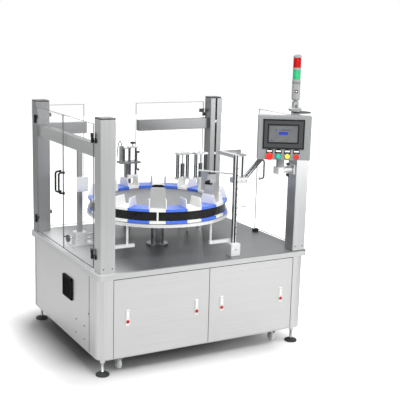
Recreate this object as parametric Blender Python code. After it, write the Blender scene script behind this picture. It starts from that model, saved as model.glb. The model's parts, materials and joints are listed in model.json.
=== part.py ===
# Rotary vertical cartoning machine: closed cabinet with a steel deck, four corner posts, clear door
# leaves, a twelve-pocket turntable and the stations around it. Metres, +Z up, front towards -Y.
import bpy
import bmesh
from math import cos, degrees, pi, radians, sin, tan
from mathutils import Matrix, Vector

objectName = "cartoning_machine"

# General fits
seat = 0.0003
weld = 0.001
runGap = 0.004

# Overall layout: deck, cabinet and posts
deckWidth = 1.59
deckDepth = 1.33
deckThickness = 0.04
deckTop = 0.69
deckCorner = 0.025
deckRim = 0.01
cabinetBottom = 0.118
floorPlate = 0.006
columnWidth = 0.1
columnDepth = 0.08
columnRound = 0.06
railSize = 0.03
panelThickness = 0.02
panelGap = 0.003
skinThickness = 0.012
skinSink = 0.002
shaftHole = 0.034

# Corner posts, caps and beams
postSize = 0.1
postInsetX = 0.02
postInsetY = 0.01
postHeight = 0.965
postEdge = 0.006
capHeight = 0.01
slotWidth = 0.014
slotDepth = 0.012
slotLength = 0.6
beamHeight = 0.085
beamWidth = 0.05
beamDrop = 0.16
beamBack = 0.008
rearStub = 0.305
rearGap = 0.43

# Clear door leaves
paneThickness = 0.006
paneLift = 0.014
paneDrop = 0.033
paneSideGap = 0.006
paneMeetGap = 0.004
knuckleRadius = 0.008
knuckleLength = 0.03
hingeLeaf = 0.034
hingePlate = 0.0055
hingeInsetLow = 0.096
hingeInsetHigh = 0.087
pullHeight = 0.14
pullLift = 0.002
pullReach = 0.042
pullRadius = 0.007
pullInset = 0.03

# Turntable: its size follows the space between the posts, and its axis the front left one
tableMargin = 0.47
stationDepth = 0.24
tableLeft = 0.12
tableFront = 0.005
tableRise = 0.359
tableStack = 0.097
plateReach = 0.13
pocketCount = 12
firstPocket = -116.4
pocketArc = 12.6
plateThickness = 0.018
flangeThickness = 0.008
bandThickness = 0.008
hubRadius = 0.06
shaftRadius = 0.022
hubCapRadius = 0.042
hubCapHeight = 0.03
sleevePockets = (0, 2, 4)
sleeveFront = 0.038
sleeveDepth = 0.067
sleeveHeight = 0.139
sleeveWall = 0.003
sleeveGap = 0.001
sidePlateFoot = 0.123
sidePlateHead = 0.09
sidePlateHeight = 0.061
sidePlateWall = 0.006
sidePlateInset = 0.006
markerRadius = 0.006
seamDepth = 0.002
tableSides = 48
sectorCount = 3

# Centre column and fixed ring under the table
ringInset = 0.04
ringOutset = 0.007
ringBarLift = 0.089
ringArmOut = 0.12
ringArmIn = 0.05
leftLegTurn = -141.0
rightLegTurn = -67.0
rearLegTurns = (35.0, 120.0)
flangeRadius = 0.078
flangeHeight = 0.014
columnRadius = 0.046
columnBore = 0.03
ringHeight = 0.02
legRadius = 0.008
barSize = 0.022

# Levelling feet and casters, set in from the cabinet's sides
footInsetX = 0.05
footInsetY = 0.055
casterInsetX = 0.185
casterInsetY = 0.095
footPad = 0.045
footStem = 0.01
footNut = 0.018
wheelRadius = 0.035
wheelWidth = 0.024
wheelLift = 0.004
casterTrail = 0.016
casterPlate = 0.084
casterPlateHeight = 0.006
forkWall = 0.004
forkGap = 0.002
axleRadius = 0.005
swivelRadius = 0.026
swivelHeight = 0.012

# Filter on the left skin
filterWidth = 0.17
filterHeight = 0.15
filterProud = 0.012
filterY = -0.105
filterShare = 0.643
louvreCount = 6
louvreProud = 0.004

# Lift-off front panels and their locks
lockWidth = 0.032
lockHeight = 0.106
lockProud = 0.006
lockShare = 0.502
lockInset = 0.095
lockButtonRadius = 0.012
lockButtonDrop = 0.026
lockButtonProud = 0.004
lockTravel = 0.003
lockBore = 0.005

# Control panel
poleInset = 0.123
poleReach = 0.027
armReach = 0.005
armDrop = 0.3873
boxLift = 0.084
bezelLift = 0.174
buttonLift = 0.025
panelTurn = -29.2
boxWidth = 0.356
boxHeight = 0.296
boxDepth = 0.09
boxShift = 0.016
boxForward = 0.022
boxEdge = 0.004
bezelWidth = 0.279
bezelHeight = 0.2
bezelProud = 0.006
bezelShift = 0.009
screenWidth = 0.192
screenHeight = 0.112
screenSink = 0.002
buttonPitch = 0.0605
buttonStart = -0.082
buttonRadius = 0.0165
buttonProud = 0.011
stopRadius = 0.025
stopProud = 0.026
collarRadius = 0.021
collarHeight = 0.005
buttonTravel = 0.004
buttonBore = 0.006
stopStem = 0.009
poleRadius = 0.027
armRadius = 0.022
elbowSize = 0.05
armFlangeSize = 0.066
armFlangeThickness = 0.014

# Signal tower
towerInset = 0.03
towerBaseRadius = 0.044
towerBaseHeight = 0.024
towerPivotRise = 0.056
towerRadius = 0.028
towerBodyHeight = 0.13
towerLensHeight = 0.067
towerRing = 0.012
towerCapHeight = 0.02
towerCore = 0.008
towerBodyRise = 0.018
tongueHalf = 0.0072
lugWidth = 0.012
lugDepth = 0.024
lugRise = 0.01

# Left station
leftClear = 0.015
leftShift = 0.21
sensorRise = 0.076
stationBlock = 0.085
stationBlockHeight = 0.085
stationColumn = 0.032
stationPlateX = 0.17
stationPlateY = 0.1
stationPlateHeight = 0.01
sensorPlateWidth = 0.085
sensorPlateHeight = 0.105
sensorPlateThickness = 0.008
crankRadius = 0.027
crankWidth = 0.016
crankShaft = 0.006
guideRodRadius = 0.007
guideRodLength = 0.16
guideRodPitch = 0.03
carrierBlock = 0.05

# Rear-left press unit, with its heights over the table
pressShift = 0.025
pressClear = 0.09
pressPlateRise = 0.141
pressRodRise = 0.261
pressBlockRise = 0.026
slideShift = 0.02
slideInset = 0.018
slideHalf = 0.016
yokeHalf = 0.014
yokeThickness = 0.012
knobStem = 0.02
knobStemRadius = 0.005
slideKnobRadius = 0.02
slideKnobHeight = 0.014
cylinderInset = 0.012
pressColumn = 0.04
pressPlateWidth = 0.16
pressPlateDepth = 0.09
pressPlateThickness = 0.014
pressRodRadius = 0.008
pressRodPitch = 0.05
pressBlockWidth = 0.08
pressBlockHeight = 0.03
cylinderRadius = 0.017
cylinderHeight = 0.115
hoseRadius = 0.003
hoseReach = 0.06
hoseRise = 0.05
hoseDrop = 0.09

# Rear-right twin units: how far each stands outside the table, and at which turn
twinClearA = 0.0722
twinClearB = 0.1618
twinTurnA = 44.64
twinTurnB = 34.06
twinLowRise = 0.021
twinTopRise = 0.211
twinRodInsetX = 0.013
twinRodInsetY = 0.011
twinColumn = 0.036
twinPlateWidth = 0.11
twinPlateDepth = 0.05
twinPlateThickness = 0.014
twinRodRadius = 0.006
twinCylinderRadius = 0.016
twinKnobRadius = 0.013
twinKnobHeight = 0.018

# Infeed station and magazine, set out from the table in the same way
infeedClear = 0.092
infeedTurn = -53.03
infeedRise = 0.336
headClear = 0.069
headTurn = -26.565
headRise = 0.286
headClampRise = 0.101
infeedRodDrop = 0.029
pickArmRise = 0.163
pickArmTurn = 126.0
armThickness = 0.026
infeedBlock = 0.072
infeedBlockHeight = 0.085
infeedProfile = 0.026
headWidth = 0.105
headDepth = 0.05
headThickness = 0.018
headRodRadius = 0.007
headRodPitch = 0.07
headClampHeight = 0.04
infeedRodLength = 0.085
railRadius = 0.009
railPitch = 0.034
railRise = 45.0
railLength = 0.25
pickArmLength = 0.3
pickArmWidth = 0.02
pickArmHeight = 0.01
pickPinRadius = 0.007

# Inside the cabinet: the electrical plate's parts are given from its middle, as right, up, width,
# height and depth
wiringShare = 0.79
wiringDrop = 0.025
wiringSpacer = 0.03
wiringInset = 0.03
wiringStud = 0.008
wiringParts = (
    (-0.18, 0.11, 0.14, 0.12, 0.11), (0.1, 0.12, 0.3, 0.08, 0.07), (-0.1, -0.08, 0.3, 0.08, 0.06),
    (0.18, -0.08, 0.12, 0.16, 0.1),
)
indexerWidth = 0.24
indexerDepth = 0.2
indexerHeight = 0.18
motorRadius = 0.06
motorLength = 0.2
wiringWidth = 0.6
wiringThickness = 0.003

# Derived values
deckUnder = deckTop - deckThickness
cabinetWidth = deckWidth - 2 * deckRim
cabinetDepth = deckDepth - 2 * deckRim
cabinetHeight = deckUnder - cabinetBottom
postSpanX = deckWidth - 2 * postInsetX - postSize
postSpanY = deckDepth - 2 * postInsetY - postSize
floorTop = cabinetBottom + floorPlate
frontFace = -cabinetDepth / 2
sideFace = cabinetWidth / 2
postX = postSpanX / 2
postY = postSpanY / 2
postHalf = postSize / 2
postBase = deckTop + seat
postTop = postBase + postHeight
capTop = postTop + capHeight
beamTop = postTop - beamDrop
rearRun = postSpanX - postSize - rearStub - rearGap
paneBottom = deckTop + paneLift
paneTop = postTop - paneDrop
hingeHeightLow = paneBottom + hingeInsetLow
hingeHeightHigh = paneTop - hingeInsetHigh
pullCentre = (paneBottom + paneTop) / 2 + pullLift
tableRadius = (min(postSpanX, postSpanY + stationDepth) - tableMargin) / 2
axisX = -postX + tableRadius + tableLeft
axisY = -postY + tableRadius + tableFront
plateInner = tableRadius - plateReach
upperPlateTop = deckTop + tableRise
lowerPlateLow = upperPlateTop - tableStack
sleeveOuter = tableRadius - sleeveFront
sleeveInner = sleeveOuter - sleeveDepth
tableAxis = Vector((axisX, axisY, 0.0))
stepAngle = 360.0 / pocketCount
upperPlateLow = upperPlateTop - plateThickness
lowerPlateTop = lowerPlateLow + plateThickness
deskTop = upperPlateLow - seat
columnTop = lowerPlateLow - 0.02
splitX = 0.011
hingeOffset = hingePlate + knuckleRadius
hingeStep = 0.007
bandOuter = tableRadius - 0.014
bandInner = bandOuter - bandThickness
flangeOuter = bandInner - seat
ringInner = tableRadius - ringInset
ringOuter = tableRadius + ringOutset
ringTop = lowerPlateLow - runGap
ringLow = ringTop - ringHeight
footX = cabinetWidth / 2 - footInsetX
footY = cabinetDepth / 2 - footInsetY
casterX = cabinetWidth / 2 - casterInsetX
casterY = cabinetDepth / 2 - casterInsetY
filterZ = cabinetBottom + filterShare * cabinetHeight
lockZ = cabinetBottom + lockShare * cabinetHeight
wheelZ = wheelLift + wheelRadius
casterPlateLow = cabinetBottom - casterPlateHeight
swivelLow = casterPlateLow - seat - swivelHeight
cheekX = wheelWidth / 2 + forkGap
poleX = postX - postHalf - poleInset
poleY = -postY - poleReach
armY = -postY - armReach
armZ = postTop - armDrop
boxBottom = armZ + boxLift
boxTop = boxBottom + boxHeight
bezelCentreZ = boxBottom + bezelLift
buttonZ = boxBottom + buttonLift
collarTop = collarHeight
towerX = postX - towerInset
towerY = -postY + towerInset
towerBase = capTop + seat
towerPivot = towerBase + towerPivotRise
leftX = axisX - tableRadius - leftClear
leftY = axisY + leftShift
sensorPlateZ = upperPlateTop + sensorRise
pressX = axisX + pressShift
pressY = axisY + tableRadius + pressClear
pressPlateZ = upperPlateTop + pressPlateRise
pressRodTop = upperPlateTop + pressRodRise
pressBlockZ = upperPlateTop + pressBlockRise
twinAX = axisX + (tableRadius + twinClearA) * cos(radians(twinTurnA))
twinAY = axisY + (tableRadius + twinClearA) * sin(radians(twinTurnA))
twinBX = axisX + (tableRadius + twinClearB) * cos(radians(twinTurnB))
twinBY = axisY + (tableRadius + twinClearB) * sin(radians(twinTurnB))
twinLowZ = upperPlateTop + twinLowRise
twinTopZ = upperPlateTop + twinTopRise
infeedX = axisX + (tableRadius + infeedClear) * cos(radians(infeedTurn))
infeedY = axisY + (tableRadius + infeedClear) * sin(radians(infeedTurn))
infeedTop = upperPlateTop + infeedRise
headX = axisX + (tableRadius + headClear) * cos(radians(headTurn))
headY = axisY + (tableRadius + headClear) * sin(radians(headTurn))
headZ = upperPlateTop + headRise
headClampZ = upperPlateTop + headClampRise
infeedRodZ = upperPlateTop - infeedRodDrop
pickArmZ = upperPlateTop + pickArmRise
wiringHeight = wiringShare * (deckUnder - floorTop)
wiringZ = (deckUnder + floorTop) / 2 - wiringDrop


def clearScene():
    for thing in list(bpy.data.objects):
        bpy.data.objects.remove(thing, do_unlink=True)


def makeCollection(name):
    group = bpy.data.collections.new(name)
    bpy.context.scene.collection.children.link(group)
    return group


def makeMaterial(name, colour, roughness, metallic=0.0, alpha=1.0):
    material = bpy.data.materials.new(name)
    material.use_nodes = True
    shader = material.node_tree.nodes["Principled BSDF"]
    shader.inputs["Base Color"].default_value = (*colour, 1.0)
    shader.inputs["Roughness"].default_value = roughness
    shader.inputs["Metallic"].default_value = metallic
    shader.inputs["Alpha"].default_value = alpha
    return material


clearScene()
parts = makeCollection(objectName)
cutters = makeCollection("cutters")

# Each finish is one material, shared by the sub-parts that have it
steel = makeMaterial("brushed steel", (0.62, 0.62, 0.62), 0.35, 1.0)
deckSteel = makeMaterial("ground steel", (0.3, 0.3, 0.3), 0.4, 1.0)
darkPlastic = makeMaterial("black plastic", (0.02, 0.02, 0.02), 0.5)
whitePlastic = makeMaterial("white plastic", (0.85, 0.85, 0.83), 0.4)
bluePlastic = makeMaterial("blue plastic", (0.05, 0.12, 0.75), 0.35)
clearPlastic = makeMaterial("clear acrylic", (0.9, 0.95, 0.95), 0.05, 0.0, 0.25)
greyPaint = makeMaterial("grey paint", (0.35, 0.36, 0.37), 0.45)
redPlastic = makeMaterial("red plastic", (0.75, 0.03, 0.02), 0.35)
greenPlastic = makeMaterial("green plastic", (0.02, 0.5, 0.08), 0.35)
yellowPlastic = makeMaterial("yellow plastic", (0.9, 0.6, 0.02), 0.35)
wheelRubber = makeMaterial("grey rubber", (0.25, 0.25, 0.25), 0.7)


def turnZ(turn):
    return Matrix.Rotation(radians(turn), 4, "Z")


def addBox(shape, size, centre, turn=None):
    made = bmesh.ops.create_cube(shape, size=1.0)
    spin = turn if turn else Matrix.Identity(4)
    place = Matrix.Translation(centre) @ spin @ Matrix.Diagonal((*size, 1.0))
    bmesh.ops.transform(shape, matrix=place, verts=made["verts"])
    return made["verts"]


def addSpan(shape, low, high):
    low = Vector(low)
    high = Vector(high)
    return addBox(shape, high - low, (low + high) / 2)


def addRod(shape, start, end, radius, sides=10):
    start = Vector(start)
    end = Vector(end)
    run = end - start
    place = Matrix.Translation((start + end) / 2) @ run.to_track_quat("Z", "Y").to_matrix().to_4x4()
    bmesh.ops.create_cone(
        shape, cap_ends=True, segments=sides, radius1=radius, radius2=radius, depth=run.length, matrix=place
    )


def mergeInto(shape, piece, place=None):
    if place:
        bmesh.ops.transform(piece, matrix=place, verts=piece.verts)
    bmesh.ops.recalc_face_normals(piece, faces=piece.faces)
    mesh = bpy.data.meshes.new("piece")
    piece.to_mesh(mesh)
    piece.free()
    shape.from_mesh(mesh)
    bpy.data.meshes.remove(mesh)


def addTurned(shape, profile, place=None, sides=24, closed=False):
    piece = bmesh.new()
    verts = [piece.verts.new((radius, 0.0, height)) for radius, height in profile]
    edges = [piece.edges.new(pair) for pair in zip(verts, verts[1:])]
    if closed:
        edges.append(piece.edges.new((verts[-1], verts[0])))
    bmesh.ops.spin(
        piece, geom=verts + edges, cent=(0, 0, 0), axis=(0, 0, 1), angle=2 * pi, steps=sides, use_merge=True
    )
    bmesh.ops.remove_doubles(piece, verts=piece.verts, dist=0.000001)
    mergeInto(shape, piece, place)


def addRing(shape, inner, outer, low, high, place, sides):
    profile = [(inner, low), (outer, low), (outer, high), (inner, high)]
    addTurned(shape, profile, place, sides, closed=True)


def addOutline(shape, points, thickness, place=None):
    piece = bmesh.new()
    face = piece.faces.new([piece.verts.new((x, y, 0.0)) for x, y in points])
    made = bmesh.ops.extrude_face_region(piece, geom=[face])
    raised = [item for item in made["geom"] if isinstance(item, bmesh.types.BMVert)]
    bmesh.ops.translate(piece, vec=(0.0, 0.0, thickness), verts=raised)
    mergeInto(shape, piece, place)


def arcOutline(inner, outer, start, end, steps):
    angles = [radians(start + (end - start) * step / steps) for step in range(steps + 1)]
    outside = [(outer * cos(angle), outer * sin(angle)) for angle in angles]
    inside = [(inner * cos(angle), inner * sin(angle)) for angle in reversed(angles)]
    return outside + inside


def addCurve(shape, curve, place=None):
    thing = bpy.data.objects.new("outline", curve)
    bpy.context.scene.collection.objects.link(thing)
    bpy.context.view_layer.update()
    mesh = bpy.data.meshes.new_from_object(thing.evaluated_get(bpy.context.evaluated_depsgraph_get()))
    piece = bmesh.new()
    piece.from_mesh(mesh)
    bmesh.ops.remove_doubles(piece, verts=piece.verts, dist=0.00001)
    mergeInto(shape, piece, place)
    bpy.data.objects.remove(thing, do_unlink=True)
    bpy.data.meshes.remove(mesh)
    bpy.data.curves.remove(curve)


def addTube(shape, points, radius, resolution=1):
    curve = bpy.data.curves.new("tube", "CURVE")
    curve.dimensions = "3D"
    curve.bevel_depth = radius
    curve.bevel_resolution = resolution
    curve.use_fill_caps = True
    spline = curve.splines.new("POLY")
    spline.points.add(len(points) - 1)
    for knot, point in zip(spline.points, points):
        knot.co = (*point, 1.0)
    addCurve(shape, curve)


def roundUpright(shape, verts, radius, segments=2):
    chosen = set(verts)
    edges = [
        edge for edge in shape.edges
        if edge.verts[0] in chosen and abs(edge.verts[0].co.z - edge.verts[1].co.z) > 0.001
    ]
    bmesh.ops.bevel(shape, geom=edges, offset=radius, segments=segments, profile=0.5, affect="EDGES")


def linkMesh(name, shape, group, origin):
    mesh = bpy.data.meshes.new(name)
    shape.to_mesh(mesh)
    shape.free()
    thing = bpy.data.objects.new(name, mesh)
    thing.location = origin
    group.objects.link(thing)
    return thing


def hideTool(tool):
    tool.hide_render = True
    tool.display_type = "WIRE"


def firstBody(shape):
    # The faces that hang together with the first one
    shape.faces.ensure_lookup_table()
    found = {shape.faces[0]}
    waiting = [shape.faces[0]]
    while waiting:
        for edge in waiting.pop().edges:
            for face in edge.link_faces:
                if face not in found:
                    found.add(face)
                    waiting.append(face)
    return found


def makeNode(name, shape, material, origin=(0.0, 0.0, 0.0)):
    # The first body is the node, and a Boolean union welds the others to it
    bmesh.ops.translate(shape, vec=-Vector(origin), verts=shape.verts)
    bmesh.ops.recalc_face_normals(shape, faces=shape.faces)
    mainFaces = firstBody(shape)
    others = None
    if len(mainFaces) < len(shape.faces):
        mainIndices = {face.index for face in mainFaces}
        others = shape.copy()
        others.faces.ensure_lookup_table()
        bmesh.ops.delete(others, geom=[f for f in others.faces if f.index in mainIndices], context="FACES")
        rest = [face for face in shape.faces if face not in mainFaces]
        bmesh.ops.delete(shape, geom=rest, context="FACES")
    node = linkMesh(name, shape, parts, origin)
    node.data.materials.append(material)
    node.data.shade_smooth()
    node.data.set_sharp_from_angle(angle=radians(32))
    if others:
        tool = linkMesh(name + "_welded", others, cutters, origin)
        hideTool(tool)
        join = node.modifiers.new("welded", "BOOLEAN")
        join.operation = "UNION"
        join.solver = "EXACT"
        join.use_self = True
        join.object = tool
    return node


def cutNode(node, cutterShape):
    bmesh.ops.recalc_face_normals(cutterShape, faces=cutterShape.faces)
    cutter = linkMesh(node.name + "_cutter", cutterShape, cutters, (0.0, 0.0, 0.0))
    hideTool(cutter)
    cut = node.modifiers.new("holes", "BOOLEAN")
    cut.operation = "DIFFERENCE"
    cut.solver = "EXACT"
    cut.object = cutter
    return cutter


def buildDeck():
    shape = bmesh.new()
    plate = addSpan(
        shape, (-deckWidth / 2, -deckDepth / 2, deckUnder), (deckWidth / 2, deckDepth / 2, deckTop)
    )
    roundUpright(shape, plate, deckCorner, 3)
    deck = makeNode("deck_plate", shape, deckSteel)
    hole = bmesh.new()
    addRod(hole, (axisX, axisY, deckUnder - 0.01), (axisX, axisY, deckTop + 0.01), shaftHole, 24)
    cutNode(deck, hole)


def columnOutline(signX, signY):
    # Rounded on the outer corner, so the outline starts at the inner corner and goes round
    outerX = sideFace
    outerY = cabinetDepth / 2
    innerX = outerX - columnWidth
    innerY = outerY - columnDepth
    points = [(innerX, innerY), (outerX, innerY)]
    for step in range(5):
        angle = radians(90.0 * step / 4)
        points.append((
            outerX - columnRound + columnRound * cos(angle), outerY - columnRound + columnRound * sin(angle)
        ))
    points.append((innerX, outerY))
    return [(signX * x, signY * y) for x, y in points]


def buildCabinet():
    shape = bmesh.new()
    plate = addSpan(shape, (-sideFace, frontFace, cabinetBottom), (sideFace, -frontFace, floorTop))
    roundUpright(shape, plate, columnRound, 4)
    columnLow = floorTop - weld
    columnHigh = deckUnder - seat
    for signX in (-1, 1):
        for signY in (-1, 1):
            addOutline(
                shape, columnOutline(signX, signY), columnHigh - columnLow, Matrix.Translation((0, 0, columnLow))
            )
    railEnd = sideFace - columnWidth + weld
    railFront = frontFace + panelThickness + runGap
    railBack = railFront + railSize
    addSpan(shape, (-railEnd, railFront, columnLow), (railEnd, railBack, columnLow + railSize))
    addSpan(shape, (-railEnd, railFront, columnHigh - railSize), (railEnd, railBack, columnHigh))
    half = railSize / 2
    addSpan(
        shape,
        (splitX - half, railFront + weld, columnLow + railSize - weld),
        (splitX + half, railBack - weld, columnHigh - railSize + weld),
    )
    skinY = cabinetDepth / 2 - columnDepth + weld
    skinHigh = columnHigh - weld
    for side in (-1, 1):
        low = min(side * (sideFace - skinSink), side * (sideFace - skinThickness))
        addSpan(
            shape, (low, -skinY, columnLow), (low + skinThickness - skinSink, skinY, skinHigh)
        )
    rearY = cabinetDepth / 2
    addSpan(shape, (-railEnd, rearY - skinThickness, columnLow), (railEnd, rearY - skinSink, skinHigh))
    for signX in (-1, 1):
        addFork(shape, signX * casterX, casterY, fixed=True)
        for signY in (-1, 1):
            addBox(
                shape,
                (casterPlate, casterPlate, casterPlateHeight + weld),
                (signX * casterX, signY * casterY, casterPlateLow + (casterPlateHeight + weld) / 2),
            )
    makeNode("cabinet_shell", shape, steel)


def buildFilter():
    shape = bmesh.new()
    face = -sideFace + skinSink - seat
    wall = 0.012
    backing = filterProud - louvreProud
    halfY = filterWidth / 2
    halfZ = filterHeight / 2
    addSpan(
        shape, (face - backing, filterY - halfY, filterZ - halfZ), (face, filterY + halfY, filterZ + halfZ)
    )
    slatSpace = filterHeight - 2 * wall
    pitch = slatSpace / louvreCount
    for count in range(louvreCount):
        slatZ = filterZ - slatSpace / 2 + pitch * (count + 0.5)
        addBox(
            shape,
            (louvreProud + weld, filterWidth - 2 * wall, pitch * 0.62),
            (face - backing + weld / 2 - louvreProud / 2, filterY, slatZ),
        )
    makeNode("side_filter", shape, darkPlastic)


def buildFeet():
    stemTop = cabinetBottom - seat
    profile = [
        (0.0, 0.0), (footPad, 0.0), (footPad, 0.01), (footPad * 0.45, 0.022), (footStem, 0.026),
        (footStem, stemTop - 0.034), (footNut, stemTop - 0.034), (footNut, stemTop), (0.0, stemTop),
    ]
    for row, signY in (("front", -1), ("rear", 1)):
        for side, signX in (("left", -1), ("right", 1)):
            place = Vector((signX * footX, signY * footY, 0.0))
            shape = bmesh.new()
            addTurned(shape, profile, Matrix.Translation(place), 12)
            makeNode("foot_" + row + "_" + side, shape, darkPlastic, place)


def addFork(shape, x, y, fixed=False):
    # The wheel trails behind the swivel, towards +Y
    wheelY = y + casterTrail
    discTop = swivelLow + swivelHeight + (seat + weld if fixed else 0.0)
    addRod(shape, (x, y, swivelLow), (x, y, discTop), swivelRadius, 14)
    cheekTop = swivelLow + weld
    for side in (-1, 1):
        outline = [
            (y - 0.02, cheekTop), (y + 0.022, cheekTop), (wheelY + 0.009, wheelZ - 0.004),
            (wheelY + 0.004, wheelZ - 0.01), (wheelY - 0.006, wheelZ - 0.009),
        ]
        start = side * cheekX if side > 0 else -cheekX - forkWall
        place = Matrix(((0, 0, 1, x + start), (1, 0, 0, 0), (0, 1, 0, 0), (0, 0, 0, 1)))
        addOutline(shape, outline, forkWall, place)
        bolt = side * (cheekX + forkWall - weld)
        addRod(shape, (x + bolt, wheelY, wheelZ), (x + bolt + side * 0.004, wheelY, wheelZ), axleRadius * 1.6, 8)
    reach = cheekX + weld
    addRod(shape, (x - reach, wheelY, wheelZ), (x + reach, wheelY, wheelZ), axleRadius, 10)


def buildWheel(name, x, y):
    shape = bmesh.new()
    half = wheelWidth / 2
    bore = axleRadius + 0.0006
    crown = 0.005
    profile = [
        (bore, -half), (wheelRadius - crown, -half), (wheelRadius, -half + crown), (wheelRadius, half - crown),
        (wheelRadius - crown, half), (bore, half),
    ]
    centre = Vector((x, y + casterTrail, wheelZ))
    place = Matrix.Translation(centre) @ Matrix.Rotation(radians(90), 4, "Y")
    addTurned(shape, profile, place, 18, closed=True)
    makeNode(name, shape, wheelRubber, centre)


def buildCasters():
    for side, signX in (("left", -1), ("right", 1)):
        shape = bmesh.new()
        addFork(shape, signX * casterX, -casterY)
        makeNode("caster_fork_" + side, shape, steel, (signX * casterX, -casterY, wheelZ))
        buildWheel("front_wheel_" + side, signX * casterX, -casterY)
        buildWheel("rear_wheel_" + side, signX * casterX, casterY)


def addPost(shape, signX, signY):
    x = signX * postX
    y = signY * postY
    post = addSpan(shape, (x - postHalf, y - postHalf, postBase), (x + postHalf, y + postHalf, postTop))
    roundUpright(shape, post, postEdge, 1)
    lip = postHalf - weld
    cap = addSpan(shape, (x - lip, y - lip, postTop - weld), (x + lip, y + lip, capTop))
    roundUpright(shape, cap, postEdge, 1)


def buildBeams(rearLeft, rearRight):
    low = beamTop - beamHeight
    inner = postX + postHalf - paneThickness / 2 - beamBack
    left = bmesh.new()
    reach = postY - postHalf - seat
    addSpan(left, (-inner, -reach, low), (-inner + beamWidth, reach, beamTop))
    makeNode("left_beam", left, steel)
    backFace = postY + postHalf - paneThickness / 2 - beamBack
    start = postX - postHalf + weld
    addSpan(rearLeft, (-start, backFace - beamWidth, low), (-start + rearStub, backFace, beamTop))
    addSpan(rearRight, (start - rearRun, backFace - beamWidth, low), (start, backFace, beamTop))


def buildPosts(frontLeft, rearLeft, frontRight, rearRight):
    makeNode("front_left_post", frontLeft, steel)
    makeNode("rear_left_post", rearLeft, steel)
    makeNode("front_right_post", frontRight, steel)
    post = makeNode("rear_right_post", rearRight, steel)
    groove = bmesh.new()
    front = postY - postHalf
    addSpan(
        groove,
        (postX - slotWidth / 2, front - 0.01, postTop - slotLength),
        (postX + slotWidth / 2, front + slotDepth, capTop + 0.01),
    )
    cutNode(post, groove)


# A leaf is set out from its post: where the hinge axis is, which way the closed leaf runs from it and
# which way is outside. Its own x runs along the leaf and its own y points outside.
def leafFrame(postSignX, postSignY, along, outside):
    along = Vector(along)
    outside = Vector(outside)
    corner = Vector((postSignX * postX, postSignY * postY, 0.0)) + postHalf * (along + outside)
    origin = corner + hingeStep * along + hingeOffset * outside
    place = Matrix.Identity(4)
    place.col[0][:3] = along
    place.col[1][:3] = outside
    place.col[2][:3] = (0.0, 0.0, 1.0)
    place.col[3][:3] = origin
    return place


def addPlaced(shape, place, low, high):
    verts = addSpan(shape, low, high)
    bmesh.ops.transform(shape, matrix=place, verts=verts)


def buildLeaf(name, place, width, fixedShape, pull=True):
    origin = place.translation.copy()
    paneMiddle = -hingeOffset
    half = paneThickness / 2
    paneNear = paneSideGap
    paneFar = width - hingeStep
    shape = bmesh.new()
    addPlaced(
        shape, place, (paneNear, paneMiddle - half, paneBottom), (paneFar, paneMiddle + half, paneTop)
    )
    plateLow = paneMiddle + half - weld
    for height in (hingeHeightLow, hingeHeightHigh):
        split = seat / 2
        fixedLow = height - knuckleLength
        movingHigh = height + knuckleLength
        addRod(
            fixedShape, origin + Vector((0, 0, fixedLow)), origin + Vector((0, 0, height - split)),
            knuckleRadius, 10,
        )
        addPlaced(
            fixedShape, place,
            (-hingeLeaf - hingeStep, paneMiddle - weld, fixedLow + weld),
            (-weld, -knuckleRadius + 1.5 * weld, height - split - weld),
        )
        addRod(
            shape, origin + Vector((0, 0, height + split)), origin + Vector((0, 0, movingHigh)),
            knuckleRadius, 10,
        )
        addPlaced(
            shape, place,
            (weld, plateLow, height + split + weld),
            (knuckleRadius + hingeLeaf, plateLow + hingePlate, movingHigh - weld),
        )
    if pull:
        nearPull = paneFar - pullInset
        bend = 0.014
        low = pullCentre - pullHeight / 2
        high = pullCentre + pullHeight / 2
        reach = plateLow + pullReach
        path = [
            (plateLow, low), (reach - bend, low), (reach - bend * 0.3, low + bend * 0.3), (reach, low + bend),
            (reach, high - bend), (reach - bend * 0.3, high - bend * 0.3), (reach - bend, high),
            (plateLow, high),
        ]
        addTube(shape, [place @ Vector((nearPull, out, up)) for out, up in path], pullRadius)
    makeNode(name, shape, clearPlastic, origin)


def buildFramesAndLeaves():
    frontLeft = bmesh.new()
    rearLeft = bmesh.new()
    frontRight = bmesh.new()
    rearRight = bmesh.new()
    addPost(frontLeft, -1, -1)
    addPost(rearLeft, -1, 1)
    addPost(frontRight, 1, -1)
    addPost(rearRight, 1, 1)
    buildBeams(rearLeft, rearRight)
    sideOpening = postSpanY - postSize
    sideWidth = sideOpening / 2 - paneMeetGap / 2
    buildLeaf("left_front_leaf", leafFrame(-1, -1, (0, 1, 0), (-1, 0, 0)), sideWidth, frontLeft)
    buildLeaf("left_rear_leaf", leafFrame(-1, 1, (0, -1, 0), (-1, 0, 0)), sideWidth, rearLeft)
    buildLeaf("right_leaf", leafFrame(1, -1, (0, 1, 0), (1, 0, 0)), sideWidth, frontRight)
    buildLeaf("rear_left_leaf", leafFrame(-1, 1, (1, 0, 0), (0, 1, 0)), rearStub, rearLeft, pull=False)
    buildLeaf("rear_right_leaf", leafFrame(1, 1, (-1, 0, 0), (0, 1, 0)), rearRun, rearRight)
    buildPosts(frontLeft, rearLeft, frontRight, rearRight)
    shape = bmesh.new()
    stopX = postX + postHalf - paneThickness / 2 - 0.006
    addSpan(shape, (stopX - 0.04, -0.07, deckTop + seat), (stopX, -0.045, deckTop + 0.024))
    makeNode("door_stop", shape, darkPlastic)


def pocketAngle(count):
    return firstPocket + stepAngle * count


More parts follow.
